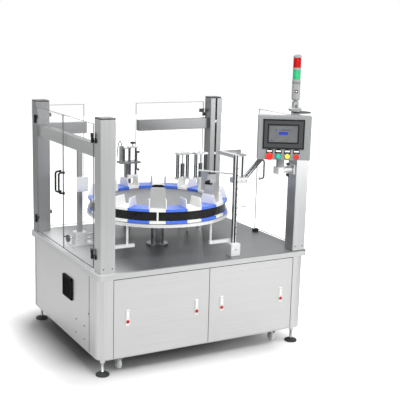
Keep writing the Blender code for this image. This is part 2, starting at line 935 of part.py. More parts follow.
def buildTurntable():
    centre = Matrix.Translation(tableAxis)
    shape = bmesh.new()
    shaftLow = deckUnder + seat
    hubLow = columnTop + seat
    lowFlange = lowerPlateTop + seat
    highFlange = upperPlateLow - seat - flangeThickness
    profile = [
        (0.0, shaftLow), (shaftRadius, shaftLow), (shaftRadius, hubLow), (hubRadius, hubLow),
        (hubRadius, lowFlange), (flangeOuter, lowFlange), (flangeOuter, lowFlange + flangeThickness),
        (hubRadius, lowFlange + flangeThickness), (hubRadius, highFlange), (flangeOuter, highFlange),
        (flangeOuter, deskTop), (0.0, deskTop),
    ]
    addTurned(shape, profile, centre, tableSides)
    makeNode("turntable_disc", shape, steel, tableAxis)

    shape = bmesh.new()
    addRing(shape, bandInner, bandOuter, lowerPlateTop + seat, upperPlateLow - seat, centre, tableSides)
    makeNode("turntable_band", shape, darkPlastic, tableAxis)

    shape = bmesh.new()
    capLow = deskTop + seat
    chamfer = 0.004
    cap = [
        (0.0, capLow), (hubCapRadius, capLow), (hubCapRadius, capLow + hubCapHeight - chamfer),
        (hubCapRadius - chamfer, capLow + hubCapHeight), (0.0, capLow + hubCapHeight),
    ]
    addTurned(shape, cap, centre, 18)
    makeNode("hub_cap", shape, darkPlastic, tableAxis)


def notchedArc(start, end, radius, seams, steps):
    # An arc of a plate ring's rim, with a shallow notch where two plates meet
    angles = [(start + (end - start) * step / steps, radius) for step in range(steps + 1)]
    width = 0.25
    for seam in seams:
        if start < seam - width and seam + width < end:
            angles += [(seam - width, radius), (seam, radius - seamDepth), (seam + width, radius)]
    angles.sort()
    return [(reach * cos(radians(angle)), reach * sin(radians(angle))) for angle, reach in angles]


def plateSeams():
    half = pocketArc / 2
    seams = []
    for count in range(-1, pocketCount + 1):
        middle = pocketAngle(count)
        seams += [middle - half, middle + half]
    return seams


def sectorOutline(start, end, steps):
    inside = arcOutline(plateInner, plateInner + 0.01, start, end, steps)[steps + 1:]
    return notchedArc(start, end, tableRadius, plateSeams(), steps) + inside


def addSleeve(shape, place):
    # An open box between the two side plates, with its sides parallel to them
    piece = bmesh.new()
    flare = tan(radians(pocketArc / 2))
    rings = []
    for near, far, inward in (
        (sleeveInner, sleeveOuter, sleeveGap),
        (sleeveInner + sleeveWall, sleeveOuter - sleeveWall, sleeveGap + sleeveWall),
    ):
        corners = [
            (near, -near * flare + inward), (far, -far * flare + inward),
            (far, far * flare - inward), (near, near * flare - inward),
        ]
        for height in (0.0, sleeveHeight + weld):
            rings.append([piece.verts.new((x, y, height)) for x, y in corners])
    outerLow, outerHigh, innerLow, innerHigh = rings
    for first, second in (
        (outerLow, outerHigh), (outerHigh, innerHigh), (innerHigh, innerLow), (innerLow, outerLow),
    ):
        for corner in range(4):
            after = (corner + 1) % 4
            piece.faces.new((first[corner], first[after], second[after], second[corner]))
    mergeInto(shape, piece, place)


def addPocket(shape, count, floor):
    middle = pocketAngle(count)
    inset = (sidePlateFoot - sidePlateHead) / 2
    footFar = tableRadius - sidePlateInset
    footNear = footFar - sidePlateFoot
    tall = sidePlateHeight + weld
    side = [(footNear, 0.0), (footFar, 0.0), (footFar - inset, tall), (footNear + inset, tall)]
    rise = Matrix.Translation(tableAxis + Vector((0.0, 0.0, floor - weld)))
    upright = Matrix.Rotation(radians(90), 4, "X")
    if count in sleevePockets:
        addSleeve(shape, rise @ turnZ(middle))
    for sign in (-1, 1):
        shift = Matrix.Translation((0.0, 0.0 if sign < 0 else sidePlateWall, 0.0))
        addOutline(shape, side, sidePlateWall, rise @ turnZ(middle + sign * pocketArc / 2) @ shift @ upright)


def buildPlateRings():
    # The upper ring is in sectors of four pockets, each with its plates, side plates and sleeves
    pocketsEach = pocketCount // sectorCount
    gap = degrees(runGap / 8 / tableRadius)
    for index in range(sectorCount):
        start = pocketAngle(index * pocketsEach) - stepAngle / 2 + gap
        end = start + stepAngle * pocketsEach - 2 * gap
        shape = bmesh.new()
        place = Matrix.Translation(tableAxis + Vector((0.0, 0.0, upperPlateLow)))
        addOutline(shape, sectorOutline(start, end, 16), plateThickness, place)
        for count in range(pocketsEach):
            addPocket(shape, index * pocketsEach + count, upperPlateTop)
        makeNode("pocket_sector_%d" % (index + 1), shape, bluePlastic, tableAxis)

    curve = bpy.data.curves.new("lower_ring", "CURVE")
    curve.dimensions = "2D"
    curve.fill_mode = "BOTH"
    curve.extrude = plateThickness / 2
    start = pocketAngle(0) - stepAngle / 2
    outside = notchedArc(start, start + 360.0, tableRadius, plateSeams(), 48)[:-1]
    inside = [
        (plateInner * cos(2 * pi * step / 40), plateInner * sin(2 * pi * step / 40)) for step in range(40)
    ]
    for outline in (outside, inside):
        spline = curve.splines.new("POLY")
        spline.points.add(len(outline) - 1)
        spline.use_cyclic_u = True
        for knot, (x, y) in zip(spline.points, outline):
            knot.co = (x, y, 0.0, 1.0)
    middle = lowerPlateLow + plateThickness / 2
    shape = bmesh.new()
    addCurve(shape, curve, Matrix.Translation(tableAxis + Vector((0.0, 0.0, middle))))
    addRod(
        shape, markerPoint(lowerPlateTop - weld), markerPoint(upperPlateLow - seat), markerRadius, 10
    )
    makeNode("lower_plate_ring", shape, bluePlastic, tableAxis)


def markerPoint(height):
    angle = radians(pocketAngle(0))
    reach = bandOuter + seat + markerRadius
    return tableAxis + Vector((reach * cos(angle), reach * sin(angle), height))


def ringPoint(turn, height):
    middle = (ringInner + ringOuter) / 2
    angle = radians(turn)
    return tableAxis + Vector((middle * cos(angle), middle * sin(angle), height))


def buildColumnAndRing():
    centre = Matrix.Translation(tableAxis)
    shape = bmesh.new()
    low = deckTop + seat
    profile = [
        (columnBore, low), (flangeRadius, low), (flangeRadius, low + flangeHeight),
        (columnRadius, low + flangeHeight), (columnRadius, columnTop), (columnBore, columnTop),
    ]
    addTurned(shape, profile, centre, 28, closed=True)
    makeNode("centre_column", shape, steel)

    shape = bmesh.new()
    addRing(shape, ringInner, ringOuter, ringLow, ringTop, centre, tableSides)
    legTop = ringLow + weld
    barLow = deckTop + ringBarLift
    barTop = barLow + barSize
    half = barSize / 2
    leftLeg = ringPoint(leftLegTurn, 0.0)
    rightLeg = ringPoint(rightLegTurn, 0.0)
    for leg in (leftLeg, rightLeg):
        addRod(shape, leg + Vector((0, 0, barTop - weld)), leg + Vector((0, 0, legTop)), legRadius, 10)
    standX = leftLeg.x - ringArmOut
    addSpan(
        shape,
        (standX - half, leftLeg.y - half, barLow),
        (leftLeg.x + ringArmIn, leftLeg.y + half, barTop),
    )
    addSpan(
        shape,
        (standX - half + weld, leftLeg.y - half + weld, deckTop + seat),
        (standX + half, leftLeg.y + half - weld, barLow + weld),
    )
    # The right bar ends on the infeed column
    addSpan(
        shape,
        (rightLeg.x - half, rightLeg.y - half, barLow),
        (infeedX - infeedProfile / 2 - seat, rightLeg.y + half, barTop),
    )
    for turn in rearLegTurns:
        leg = ringPoint(turn, 0.0)
        addRod(shape, leg + Vector((0, 0, deckTop + seat)), leg + Vector((0, 0, legTop)), legRadius, 10)
    makeNode("guide_ring", shape, whitePlastic)


def buildLeftStation():
    shape = bmesh.new()
    low = deckTop + seat
    plateTop = low + stationPlateHeight
    addSpan(
        shape,
        (leftX - stationPlateX * 0.42, leftY - stationPlateY / 2, low),
        (leftX + stationPlateX * 0.58, leftY + stationPlateY / 2, plateTop),
    )
    half = stationBlock / 2
    blockTop = plateTop + stationBlockHeight
    block = addSpan(
        shape, (leftX - half, leftY - half, plateTop - weld), (leftX + half, leftY + half, blockTop)
    )
    roundUpright(shape, block, 0.003, 1)
    columnHalf = stationColumn / 2
    addSpan(
        shape,
        (leftX - columnHalf, leftY - columnHalf, blockTop - weld),
        (leftX + columnHalf, leftY + columnHalf, beamTop - beamHeight),
    )
    plateFront = leftY - columnHalf + weld
    addBox(
        shape,
        (sensorPlateWidth, sensorPlateThickness, sensorPlateHeight),
        (leftX + 0.015, plateFront - sensorPlateThickness / 2, sensorPlateZ),
    )
    rodStart = leftX + half - weld
    rodEnd = rodStart + guideRodLength
    crankZ = plateTop + stationBlockHeight / 2
    for sign in (-1, 1):
        rodZ = crankZ + sign * guideRodPitch / 2
        addRod(shape, (rodStart, leftY, rodZ), (rodEnd, leftY, rodZ), guideRodRadius, 10)
    carrierStart = rodEnd - weld
    addSpan(
        shape,
        (carrierStart, leftY - carrierBlock / 2, low),
        (carrierStart + carrierBlock, leftY + carrierBlock / 2, crankZ + guideRodPitch),
    )
    makeNode("left_station", shape, steel)

    shape = bmesh.new()
    shaftEnd = leftX - half - seat
    wheelEnd = shaftEnd - 0.036
    addRod(shape, (wheelEnd - weld, leftY, crankZ), (shaftEnd, leftY, crankZ), crankShaft, 10)
    rim = [
        (0.0, 0.0), (crankRadius - 0.003, 0.0), (crankRadius, 0.003), (crankRadius, crankWidth - 0.003),
        (crankRadius - 0.003, crankWidth), (0.0, crankWidth),
    ]
    place = Matrix.Translation((wheelEnd - crankWidth, leftY, crankZ)) @ Matrix.Rotation(radians(90), 4, "Y")
    addTurned(shape, rim, place, 16)
    pin = Vector((wheelEnd - crankWidth + weld, leftY, crankZ + crankRadius * 0.62))
    addRod(shape, pin, pin - Vector((0.022, 0.0, 0.0)), 0.005, 8)
    makeNode("crank_wheel", shape, darkPlastic, (wheelEnd, leftY, crankZ))


def buildPressUnit():
    shape = bmesh.new()
    low = deckTop + seat
    half = pressColumn / 2
    addSpan(
        shape, (pressX - half, pressY - half, low), (pressX + half, pressY + half, pressPlateZ + weld)
    )
    plateTop = pressPlateZ + pressPlateThickness
    plateBack = pressY + half + 0.005
    plateFront = plateBack - pressPlateDepth
    addSpan(
        shape,
        (pressX - pressPlateWidth / 2, plateFront, pressPlateZ),
        (pressX + pressPlateWidth / 2, plateBack, plateTop),
    )
    cylinderX = pressX - pressPlateWidth / 2 + cylinderRadius + cylinderInset
    cylinderLow = plateTop - weld
    addRod(
        shape, (cylinderX, pressY, cylinderLow), (cylinderX, pressY, cylinderLow + cylinderHeight),
        cylinderRadius, 12,
    )
    frame = makeNode("press_frame", shape, steel)

    rodY = plateFront + slideInset
    middle = pressX + slideShift
    rodXs = [middle - pressRodPitch / 2, middle + pressRodPitch / 2]
    holes = bmesh.new()
    for rodX in rodXs:
        addRod(
            holes, (rodX, rodY, pressPlateZ - 0.01), (rodX, rodY, plateTop + 0.01), pressRodRadius + 0.0008, 16
        )
    cutNode(frame, holes)

    shape = bmesh.new()
    blockTop = pressBlockZ + pressBlockHeight
    for rodX in rodXs:
        addRod(shape, (rodX, rodY, blockTop - weld), (rodX, rodY, pressRodTop), pressRodRadius, 12)
    blockHalf = pressBlockWidth / 2
    addSpan(
        shape,
        (middle - blockHalf, rodY - slideHalf, pressBlockZ),
        (middle + blockHalf, rodY + slideHalf, blockTop),
    )
    yokeLow = pressRodTop - weld
    yokeTop = yokeLow + yokeThickness
    addSpan(
        shape,
        (middle - blockHalf, rodY - yokeHalf, yokeLow),
        (middle + blockHalf, rodY + yokeHalf, yokeTop),
    )
    stemTop = yokeTop + knobStem
    addRod(shape, (middle, rodY, yokeTop - weld), (middle, rodY, stemTop), knobStemRadius, 8)
    knob = [
        (0.0, 0.0), (slideKnobRadius * 0.9, 0.0), (slideKnobRadius, slideKnobHeight * 0.3),
        (slideKnobRadius * 0.9, slideKnobHeight), (0.0, slideKnobHeight),
    ]
    addTurned(shape, knob, Matrix.Translation((middle, rodY, stemTop - weld)), 14)
    makeNode("press_slide", shape, steel, (middle, rodY, pressBlockZ))

    hose = bmesh.new()
    top = cylinderLow + cylinderHeight + seat
    path = []
    for step in range(15):
        share = step / 14
        angle = pi * share
        path.append((
            cylinderX - 0.01 * share,
            pressY + hoseReach * (1.0 - cos(angle)) / 2,
            top + hoseRise * sin(angle) - hoseDrop * share * share,
        ))
    addTube(hose, path, hoseRadius)
    makeNode("air_hose", hose, darkPlastic)


def buildTwinUnits():
    shape = bmesh.new()
    low = deckTop + seat
    half = twinColumn / 2
    for x, y in ((twinAX, twinAY), (twinBX, twinBY)):
        addSpan(shape, (x - half, y - half, low), (x + half, y + half, twinLowZ + weld))
        lowTop = twinLowZ + twinPlateThickness
        highTop = twinTopZ + twinPlateThickness
        for base in (twinLowZ, twinTopZ):
            plate = addSpan(
                shape,
                (x - twinPlateWidth / 2, y - twinPlateDepth / 2, base),
                (x + twinPlateWidth / 2, y + twinPlateDepth / 2, base + twinPlateThickness),
            )
            roundUpright(shape, plate, 0.006, 1)
        for signX in (-1, 1):
            for signY in (-1, 1):
                rodX = x + signX * (twinPlateWidth / 2 - twinRodInsetX)
                rodY = y + signY * (twinPlateDepth / 2 - twinRodInsetY)
                addRod(
                    shape, (rodX, rodY, lowTop - weld), (rodX, rodY, twinTopZ + weld), twinRodRadius, 8
                )
        body = lowTop + (twinTopZ - lowTop) * 0.6
        addRod(shape, (x, y, lowTop - weld), (x, y, body), twinCylinderRadius, 14)
        addRod(shape, (x, y, body - weld), (x, y, twinTopZ + weld), 0.005, 8)
        knob = [
            (0.0, 0.0), (twinKnobRadius, 0.0), (twinKnobRadius, twinKnobHeight - 0.003),
            (twinKnobRadius - 0.003, twinKnobHeight), (0.0, twinKnobHeight),
        ]
        addTurned(shape, knob, Matrix.Translation((x, y, highTop - weld)), 12)
    bridgeStart = twinAX + twinPlateWidth / 2 - weld
    bridgeY = (twinAY + twinBY) / 2
    addSpan(
        shape,
        (bridgeStart, bridgeY - 0.006, twinTopZ + weld),
        (twinBX - twinPlateWidth / 2 + weld, bridgeY + 0.006, twinTopZ + twinPlateThickness - weld),
    )
    makeNode("twin_units", shape, steel)


def buildInfeed():
    shape = bmesh.new()
    low = deckTop + seat
    half = infeedProfile / 2
    blockTop = low + infeedBlockHeight
    block = addSpan(
        shape,
        (infeedX - infeedBlock / 2, infeedY - infeedBlock / 2, low),
        (infeedX + infeedBlock / 2, infeedY + infeedBlock / 2, blockTop),
    )
    roundUpright(shape, block, 0.003, 1)
    addSpan(
        shape,
        (infeedX - half, infeedY - half, blockTop - weld),
        (infeedX + half, infeedY + half, infeedTop),
    )
    armHigh = infeedTop
    armLow = armHigh - armThickness
    addSpan(
        shape, (infeedX - half, infeedY + half - weld, armLow), (infeedX + half, headY + half, armHigh - weld)
    )
    headHigh = headZ + headThickness
    headFront = headY - headDepth / 2
    addSpan(
        shape,
        (infeedX + half - weld, headY - half, armLow + weld),
        (headX + half - weld, headY + half - weld, armHigh - 2 * weld),
    )
    addSpan(
        shape,
        (headX - headWidth / 2, headFront, headZ),
        (headX + headWidth / 2, headY + headDepth / 2, headHigh),
    )
    addSpan(
        shape,
        (headX - half + weld, headY - half + weld, headHigh - weld),
        (headX + half - 2 * weld, headY + half - 2 * weld, armLow + 2 * weld),
    )
    clampTop = headClampZ + headClampHeight
    for sign in (-1, 1):
        rodX = headX + sign * headRodPitch / 2
        addRod(shape, (rodX, headY, clampTop - weld), (rodX, headY, headZ + weld), headRodRadius, 12)
    clampHalf = headWidth / 2
    addSpan(
        shape,
        (headX - clampHalf, headY - 0.055, headClampZ),
        (headX + clampHalf, headY + 0.022, clampTop),
    )
    for sign in (-1, 1):
        rodY = infeedY + sign * 0.007
        addRod(
            shape,
            (infeedX + half - weld, rodY, infeedRodZ),
            (infeedX + half + infeedRodLength, rodY, infeedRodZ),
            0.005, 8,
        )
    slope = radians(railRise)
    start = headX + clampHalf - railRadius * sin(slope) - weld
    startZ = headClampZ + headClampHeight * 0.55
    for sign in (-1, 1):
        railY = headY + sign * railPitch / 2 - 0.008
        addRod(
            shape,
            (start, railY, startZ),
            (start + railLength * cos(slope), railY, startZ + railLength * sin(slope)),
            railRadius, 12,
        )
    makeNode("infeed_stand", shape, steel)


def buildPickArm():
    pivot = Vector((headX - headWidth / 2 + 0.014, headY - 0.04, headClampZ + headClampHeight + seat))
    shape = bmesh.new()
    addRod(shape, pivot, pivot + Vector((0, 0, pickArmZ - pivot.z + weld)), pickPinRadius, 12)
    direction = turnZ(pickArmTurn)
    middle = Vector((pickArmLength / 2 - 0.012, 0.0, pickArmHeight / 2))
    foot = Matrix.Translation((pivot.x, pivot.y, pickArmZ)) @ direction
    arm = addBox(shape, (pickArmLength, pickArmWidth, pickArmHeight), middle)
    bmesh.ops.transform(shape, matrix=foot, verts=arm)
    makeNode("pick_arm", shape, steel, pivot)


def panelPlace():
    return Matrix.Translation((poleX, poleY, 0.0)) @ turnZ(panelTurn)


def addPanelRound(shape, profile, x, z, sides=16):
    front = -boxForward - boxDepth / 2
    place = panelPlace() @ Matrix.Translation((x, front, z)) @ Matrix.Rotation(radians(90), 4, "X")
    addTurned(shape, profile, place, sides)


def buildPanel():
    place = panelPlace()
    shape = bmesh.new()
    front = -boxForward - boxDepth / 2
    box = addSpan(
        shape,
        (boxShift - boxWidth / 2, front, boxBottom),
        (boxShift + boxWidth / 2, front + boxDepth, boxTop),
    )
    roundUpright(shape, box, boxEdge, 1)
    elbowTop = armZ + elbowSize / 2
    addRod(shape, (0.0, 0.0, elbowTop + seat), (0.0, 0.0, boxBottom + weld), poleRadius, 18)
    bmesh.ops.transform(shape, matrix=place, verts=shape.verts)
    collar = [(0.0, -weld), (collarRadius, -weld), (collarRadius, collarTop), (0.0, collarTop)]
    for index in range(4):
        addPanelRound(shape, collar, buttonStart + buttonPitch * index, buttonZ)
    pivot = (poleX, poleY, elbowTop)
    panelBox = makeNode("control_box", shape, greyPaint, pivot)
    bores = bmesh.new()
    for index in range(4):
        bore = seat + (buttonRadius if index else stopStem)
        hole = [(0.0, -buttonBore), (bore, -buttonBore), (bore, collarTop + 0.01), (0.0, collarTop + 0.01)]
        addPanelRound(bores, hole, buttonStart + buttonPitch * index, buttonZ)
    cutNode(panelBox, bores)

    shape = bmesh.new()
    rim = 0.012
    outer = addSpan(
        shape,
        (bezelShift - bezelWidth / 2, front - seat - bezelProud, bezelCentreZ - bezelHeight / 2),
        (bezelShift + bezelWidth / 2, front - seat, bezelCentreZ + bezelHeight / 2),
    )
    bmesh.ops.transform(shape, matrix=place, verts=outer)
    screen = makeNode("operator_screen", shape, darkPlastic, pivot)
    glass = bmesh.new()
    screenZ = bezelCentreZ + 0.002
    cut = addSpan(
        glass,
        (bezelShift - screenWidth / 2 - 0.003, front - bezelProud - 0.01, screenZ - screenHeight / 2),
        (bezelShift + screenWidth / 2 - 0.003, front - seat - bezelProud + screenSink, screenZ + screenHeight / 2),
    )
    bmesh.ops.transform(glass, matrix=place, verts=cut)
    cutNode(screen, glass)

    stemLow = buttonTravel + seat - buttonBore
    headLow = collarTop + buttonTravel + seat
    stopTop = collarTop + stopProud
    buttonTop = collarTop + buttonProud
    for index, (name, material) in enumerate((
        ("stop_button", redPlastic), ("green_button", greenPlastic),
        ("yellow_button", yellowPlastic), ("red_button", redPlastic),
    )):
        x = buttonStart + buttonPitch * index
        shape = bmesh.new()
        if name == "stop_button":
            profile = [
                (0.0, stemLow), (stopStem, stemLow), (stopStem, headLow), (stopRadius * 0.88, headLow),
                (stopRadius, headLow + 0.005), (stopRadius, stopTop - 0.006), (stopRadius * 0.86, stopTop),
                (0.0, stopTop),
            ]
        else:
            profile = [
                (0.0, stemLow), (buttonRadius, stemLow), (buttonRadius, buttonTop - 0.0025),
                (buttonRadius * 0.85, buttonTop), (0.0, buttonTop),
            ]
        addPanelRound(shape, profile, x, buttonZ)
        origin = place @ Vector((x, front, buttonZ))
        makeNode(name, shape, material, origin)
    shape = bmesh.new()
    armEnd = postX - postHalf - seat - armFlangeThickness
    half = elbowSize / 2
    elbow = addSpan(
        shape,
        (poleX - half, armY - elbowSize * 0.86, armZ - half),
        (poleX + half, armY + half, armZ + half),
    )
    roundUpright(shape, elbow, 0.008, 2)
    addRod(shape, (poleX + half - weld, armY, armZ), (armEnd + weld, armY, armZ), armRadius, 18)
    flangeHalf = armFlangeSize / 2
    addSpan(
        shape,
        (armEnd, armY - flangeHalf, armZ - flangeHalf),
        (armEnd + armFlangeThickness, armY + flangeHalf, armZ + flangeHalf),
    )
    makeNode("panel_arm", shape, steel)


def buildTower():
    shape = bmesh.new()
    place = Matrix.Translation((towerX, towerY, 0.0))
    baseTop = towerBase + towerBaseHeight
    base = [
        (0.0, towerBase), (towerBaseRadius, towerBase), (towerBaseRadius, baseTop - 0.008),
        (towerBaseRadius * 0.7, baseTop), (0.0, baseTop),
    ]
    addTurned(shape, base, place, 18)
    inner = tongueHalf + seat
    for sign in (-1, 1):
        low = towerX + (inner if sign > 0 else -inner - lugWidth)
        addSpan(
            shape,
            (low, towerY - lugDepth / 2, baseTop - weld),
            (low + lugWidth, towerY + lugDepth / 2, towerPivot + lugRise),
        )
    makeNode("tower_base", shape, whitePlastic)

    shape = bmesh.new()
    bodyLow = towerPivot + towerBodyRise
    addSpan(
        shape,
        (towerX - tongueHalf, towerY - lugDepth / 2, towerPivot - lugDepth / 2),
        (towerX + tongueHalf, towerY + lugDepth / 2, bodyLow + weld),
    )
    bodyHigh = bodyLow + towerBodyHeight + towerRing
    body = [
        (0.0, bodyLow), (towerRadius * 0.8, bodyLow), (towerRadius, bodyLow + 0.01), (towerRadius, bodyHigh),
        (0.0, bodyHigh),
    ]
    addTurned(shape, body, place, 18)
    greenLow = bodyHigh + seat
    greenHigh = greenLow + towerLensHeight
    ringLow2 = greenHigh + seat
    ringHigh2 = ringLow2 + towerRing
    redLow = ringHigh2 + seat
    redHigh = redLow + towerLensHeight
    capLow = redHigh + seat
    capHigh = capLow + towerCapHeight
    addTurned(
        shape, [(0.0, ringLow2), (towerRadius, ringLow2), (towerRadius, ringHigh2), (0.0, ringHigh2)], place, 18
    )
    addTurned(
        shape,
        [
            (0.0, capLow), (towerRadius, capLow), (towerRadius, capHigh - 0.008),
            (towerRadius * 0.72, capHigh), (0.0, capHigh),
        ],
        place, 18,
    )
    addRod(
        shape,
        (towerX, towerY, bodyHigh - weld), (towerX, towerY, capLow + weld), towerCore, 12,
    )
    pivot = (towerX, towerY, towerPivot)
    makeNode("tower_body", shape, whitePlastic, pivot)
    lensRadius = towerRadius - 0.001
    for name, material, low, high in (
        ("tower_green", greenPlastic, greenLow, greenHigh), ("tower_red", redPlastic, redLow, redHigh),
    ):
        shape = bmesh.new()
        addRing(shape, towerCore + seat, lensRadius, low, high, place, 18)
        makeNode(name, shape, material, pivot)


def buildFrontPanels():
    low = floorTop + seat
    high = deckUnder - runGap
    edges = (
        ("left", -sideFace + columnWidth + panelGap, splitX - panelGap / 2),
        ("right", splitX + panelGap / 2, sideFace - columnWidth - panelGap),
    )
    for name, start, end in edges:
        shape = bmesh.new()
        addSpan(shape, (start, frontFace, low), (end, frontFace + panelThickness, high))
        bores = bmesh.new()
        lockFace = frontFace - lockProud
        buttonLine = lockZ - lockButtonDrop
        buttonBack = lockFace + lockBore - lockTravel - seat
        for place, lockX in (("a", start + lockInset), ("b", end - lockInset)):
            addSpan(
                shape,
                (lockX - lockWidth / 2, lockFace, lockZ - lockHeight / 2),
                (lockX + lockWidth / 2, frontFace + weld, lockZ + lockHeight / 2),
            )
            addRod(
                bores, (lockX, lockFace - 0.01, buttonLine), (lockX, lockFace + lockBore, buttonLine),
                lockButtonRadius + seat, 14,
            )
            button = bmesh.new()
            centre = (lockX, buttonBack, buttonLine)
            addRod(button, (lockX, lockFace - lockButtonProud, buttonLine), centre, lockButtonRadius, 14)
            makeNode("lock_button_" + name + "_" + place, button, redPlastic, centre)
        panel = makeNode("front_panel_" + name, shape, steel, ((start + end) / 2, frontFace, low))
        cutNode(panel, bores)


def buildInside():
    shape = bmesh.new()
    high = deckUnder - seat
    addSpan(
        shape,
        (axisX - indexerWidth / 2, axisY - indexerDepth / 2, high - indexerHeight),
        (axisX + indexerWidth / 2, axisY + indexerDepth / 2, high),
    )
    motorX = axisX + indexerWidth / 2 - weld
    motorZ = high - indexerHeight / 2
    addRod(shape, (motorX, axisY, motorZ), (motorX + motorLength, axisY, motorZ), motorRadius, 16)
    makeNode("index_drive", shape, greyPaint)

    shape = bmesh.new()
    skinInner = cabinetDepth / 2 - skinThickness - seat
    plateBack = skinInner - wiringSpacer
    face = plateBack - wiringThickness
    halfX = wiringWidth / 2
    halfZ = wiringHeight / 2
    addSpan(shape, (-halfX, face, wiringZ - halfZ), (halfX, plateBack, wiringZ + halfZ))
    for signX in (-1, 1):
        for signZ in (-1, 1):
            x = signX * (halfX - wiringInset)
            z = wiringZ + signZ * (halfZ - wiringInset)
            addRod(shape, (x, plateBack - weld, z), (x, skinInner, z), wiringStud, 8)
    for x, rise, width, height, depth in wiringParts:
        z = wiringZ + rise
        addSpan(
            shape, (x - width / 2, face - depth, z - height / 2), (x + width / 2, face + weld, z + height / 2)
        )
    makeNode("electrical_plate", shape, greyPaint)


def centreOnFloor():
    # The part stands on its origin: the middle of its whole outline, at the height of the feet
    low = Vector((1e9, 1e9, 1e9))
    high = -low
    bpy.context.view_layer.update()
    graph = bpy.context.evaluated_depsgraph_get()
    for node in parts.objects:
        for corner in node.evaluated_get(graph).bound_box:
            point = node.matrix_world @ Vector(corner)
            low = Vector(map(min, low, point))
            high = Vector(map(max, high, point))
    shift = Vector(((low.x + high.x) / 2, (low.y + high.y) / 2, low.z))
    for node in list(parts.objects) + list(cutters.objects):
        node.location -= shift
    return shift


buildDeck()
buildCabinet()
buildFilter()
buildFeet()
buildCasters()
buildFramesAndLeaves()
buildTurntable()
buildPlateRings()
buildColumnAndRing()
buildLeftStation()
buildPressUnit()
buildTwinUnits()
buildInfeed()
buildPickArm()
buildPanel()
buildTower()
buildFrontPanels()
buildInside()
shift = centreOnFloor()
print("centred by", tuple(round(value, 5) for value in shift))
print("nodes", len(parts.objects))
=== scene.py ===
# Looks of the rotary cartoning machine: finishes, fine pieces, studio light and camera
import bpy
import bmesh
import json
from math import cos, pi, radians, sin, tan
from mathutils import Matrix, Vector

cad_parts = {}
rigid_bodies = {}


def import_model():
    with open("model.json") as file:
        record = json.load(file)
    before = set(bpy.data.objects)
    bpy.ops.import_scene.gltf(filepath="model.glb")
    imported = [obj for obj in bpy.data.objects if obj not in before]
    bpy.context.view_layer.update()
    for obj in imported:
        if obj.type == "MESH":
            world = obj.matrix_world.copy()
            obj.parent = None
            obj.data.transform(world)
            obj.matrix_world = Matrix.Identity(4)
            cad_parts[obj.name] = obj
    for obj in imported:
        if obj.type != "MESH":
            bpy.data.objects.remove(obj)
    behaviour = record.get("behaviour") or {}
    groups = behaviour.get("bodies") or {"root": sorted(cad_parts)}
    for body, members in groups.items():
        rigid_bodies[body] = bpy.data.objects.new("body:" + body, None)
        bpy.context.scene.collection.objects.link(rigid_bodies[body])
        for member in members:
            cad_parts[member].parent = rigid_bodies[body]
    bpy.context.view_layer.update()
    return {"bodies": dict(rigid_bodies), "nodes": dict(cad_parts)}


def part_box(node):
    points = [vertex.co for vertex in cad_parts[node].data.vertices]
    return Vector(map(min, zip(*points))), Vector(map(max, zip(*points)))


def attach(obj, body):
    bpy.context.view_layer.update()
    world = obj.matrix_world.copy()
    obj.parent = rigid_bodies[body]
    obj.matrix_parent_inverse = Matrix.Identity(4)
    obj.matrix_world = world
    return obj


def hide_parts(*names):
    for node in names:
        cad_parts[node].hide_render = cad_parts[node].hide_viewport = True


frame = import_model()
deckLow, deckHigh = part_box("deck_plate")
middle = Vector(((deckLow.x + deckHigh.x) / 2, (deckLow.y + deckHigh.y) / 2, 0.0))  # the deck's centre, from which pieces are set out
deckTop = deckHigh.z
seat = 0.0003


# Camera: where the photograph was taken from
camera = {
    "place": (-2.746, -5.425, 2.233),
    "yaw": 29.204,
    "pitch": 11.571,
    "roll": 1.533,
    "focalShare": 2.144,
}


def placeCamera():
    yaw, pitch, roll = (radians(camera[name]) for name in ("yaw", "pitch", "roll"))
    ahead = Vector((sin(yaw) * cos(pitch), cos(yaw) * cos(pitch), -sin(pitch)))
    level = Vector((cos(yaw), -sin(yaw), 0.0))
    above = level.cross(ahead)
    right = cos(roll) * level + sin(roll) * above
    up = -sin(roll) * level + cos(roll) * above
    lens = bpy.data.cameras.new("photoCamera")
    lens.sensor_width = 36.0
    lens.lens = 36.0 * camera["focalShare"]
    lens.clip_end = 60.0
    seen = bpy.data.objects.new("photoCamera", lens)
    bpy.context.scene.collection.objects.link(seen)
    turned = Matrix((right, up, -ahead)).transposed().to_4x4()
    seen.matrix_world = Matrix.Translation(Vector(camera["place"]) + middle) @ turned
    bpy.context.scene.camera = seen


placeCamera()
print("camera placed")


# Finishes
def linear(hexCode):
    channels = [int(hexCode[at:at + 2], 16) / 255 for at in (0, 2, 4)]
    return [c / 12.92 if c <= 0.04045 else ((c + 0.055) / 1.055) ** 2.4 for c in channels] + [1.0]


def addNode(tree, kind, settings=None, links=None):
    node = tree.nodes.new(kind)
    for name, value in (settings or {}).items():
        if isinstance(name, int) or name in node.inputs:
            node.inputs[name].default_value = value
        else:
            setattr(node, name, value)
    for name, source in (links or {}).items():
        tree.links.new(source, node.inputs[name])
    return node


def startFinish(name, colour, roughness, metallic=0.0, **more):
    material = bpy.data.materials.new(name)
    material.use_nodes = True
    shader = material.node_tree.nodes["Principled BSDF"]
    settings = {"Base Color": linear(colour), "Roughness": roughness, "Metallic": metallic}
    settings.update({key.replace("_", " "): value for key, value in more.items()})
    for key, value in settings.items():
        shader.inputs[key].default_value = value
    return material, material.node_tree, shader


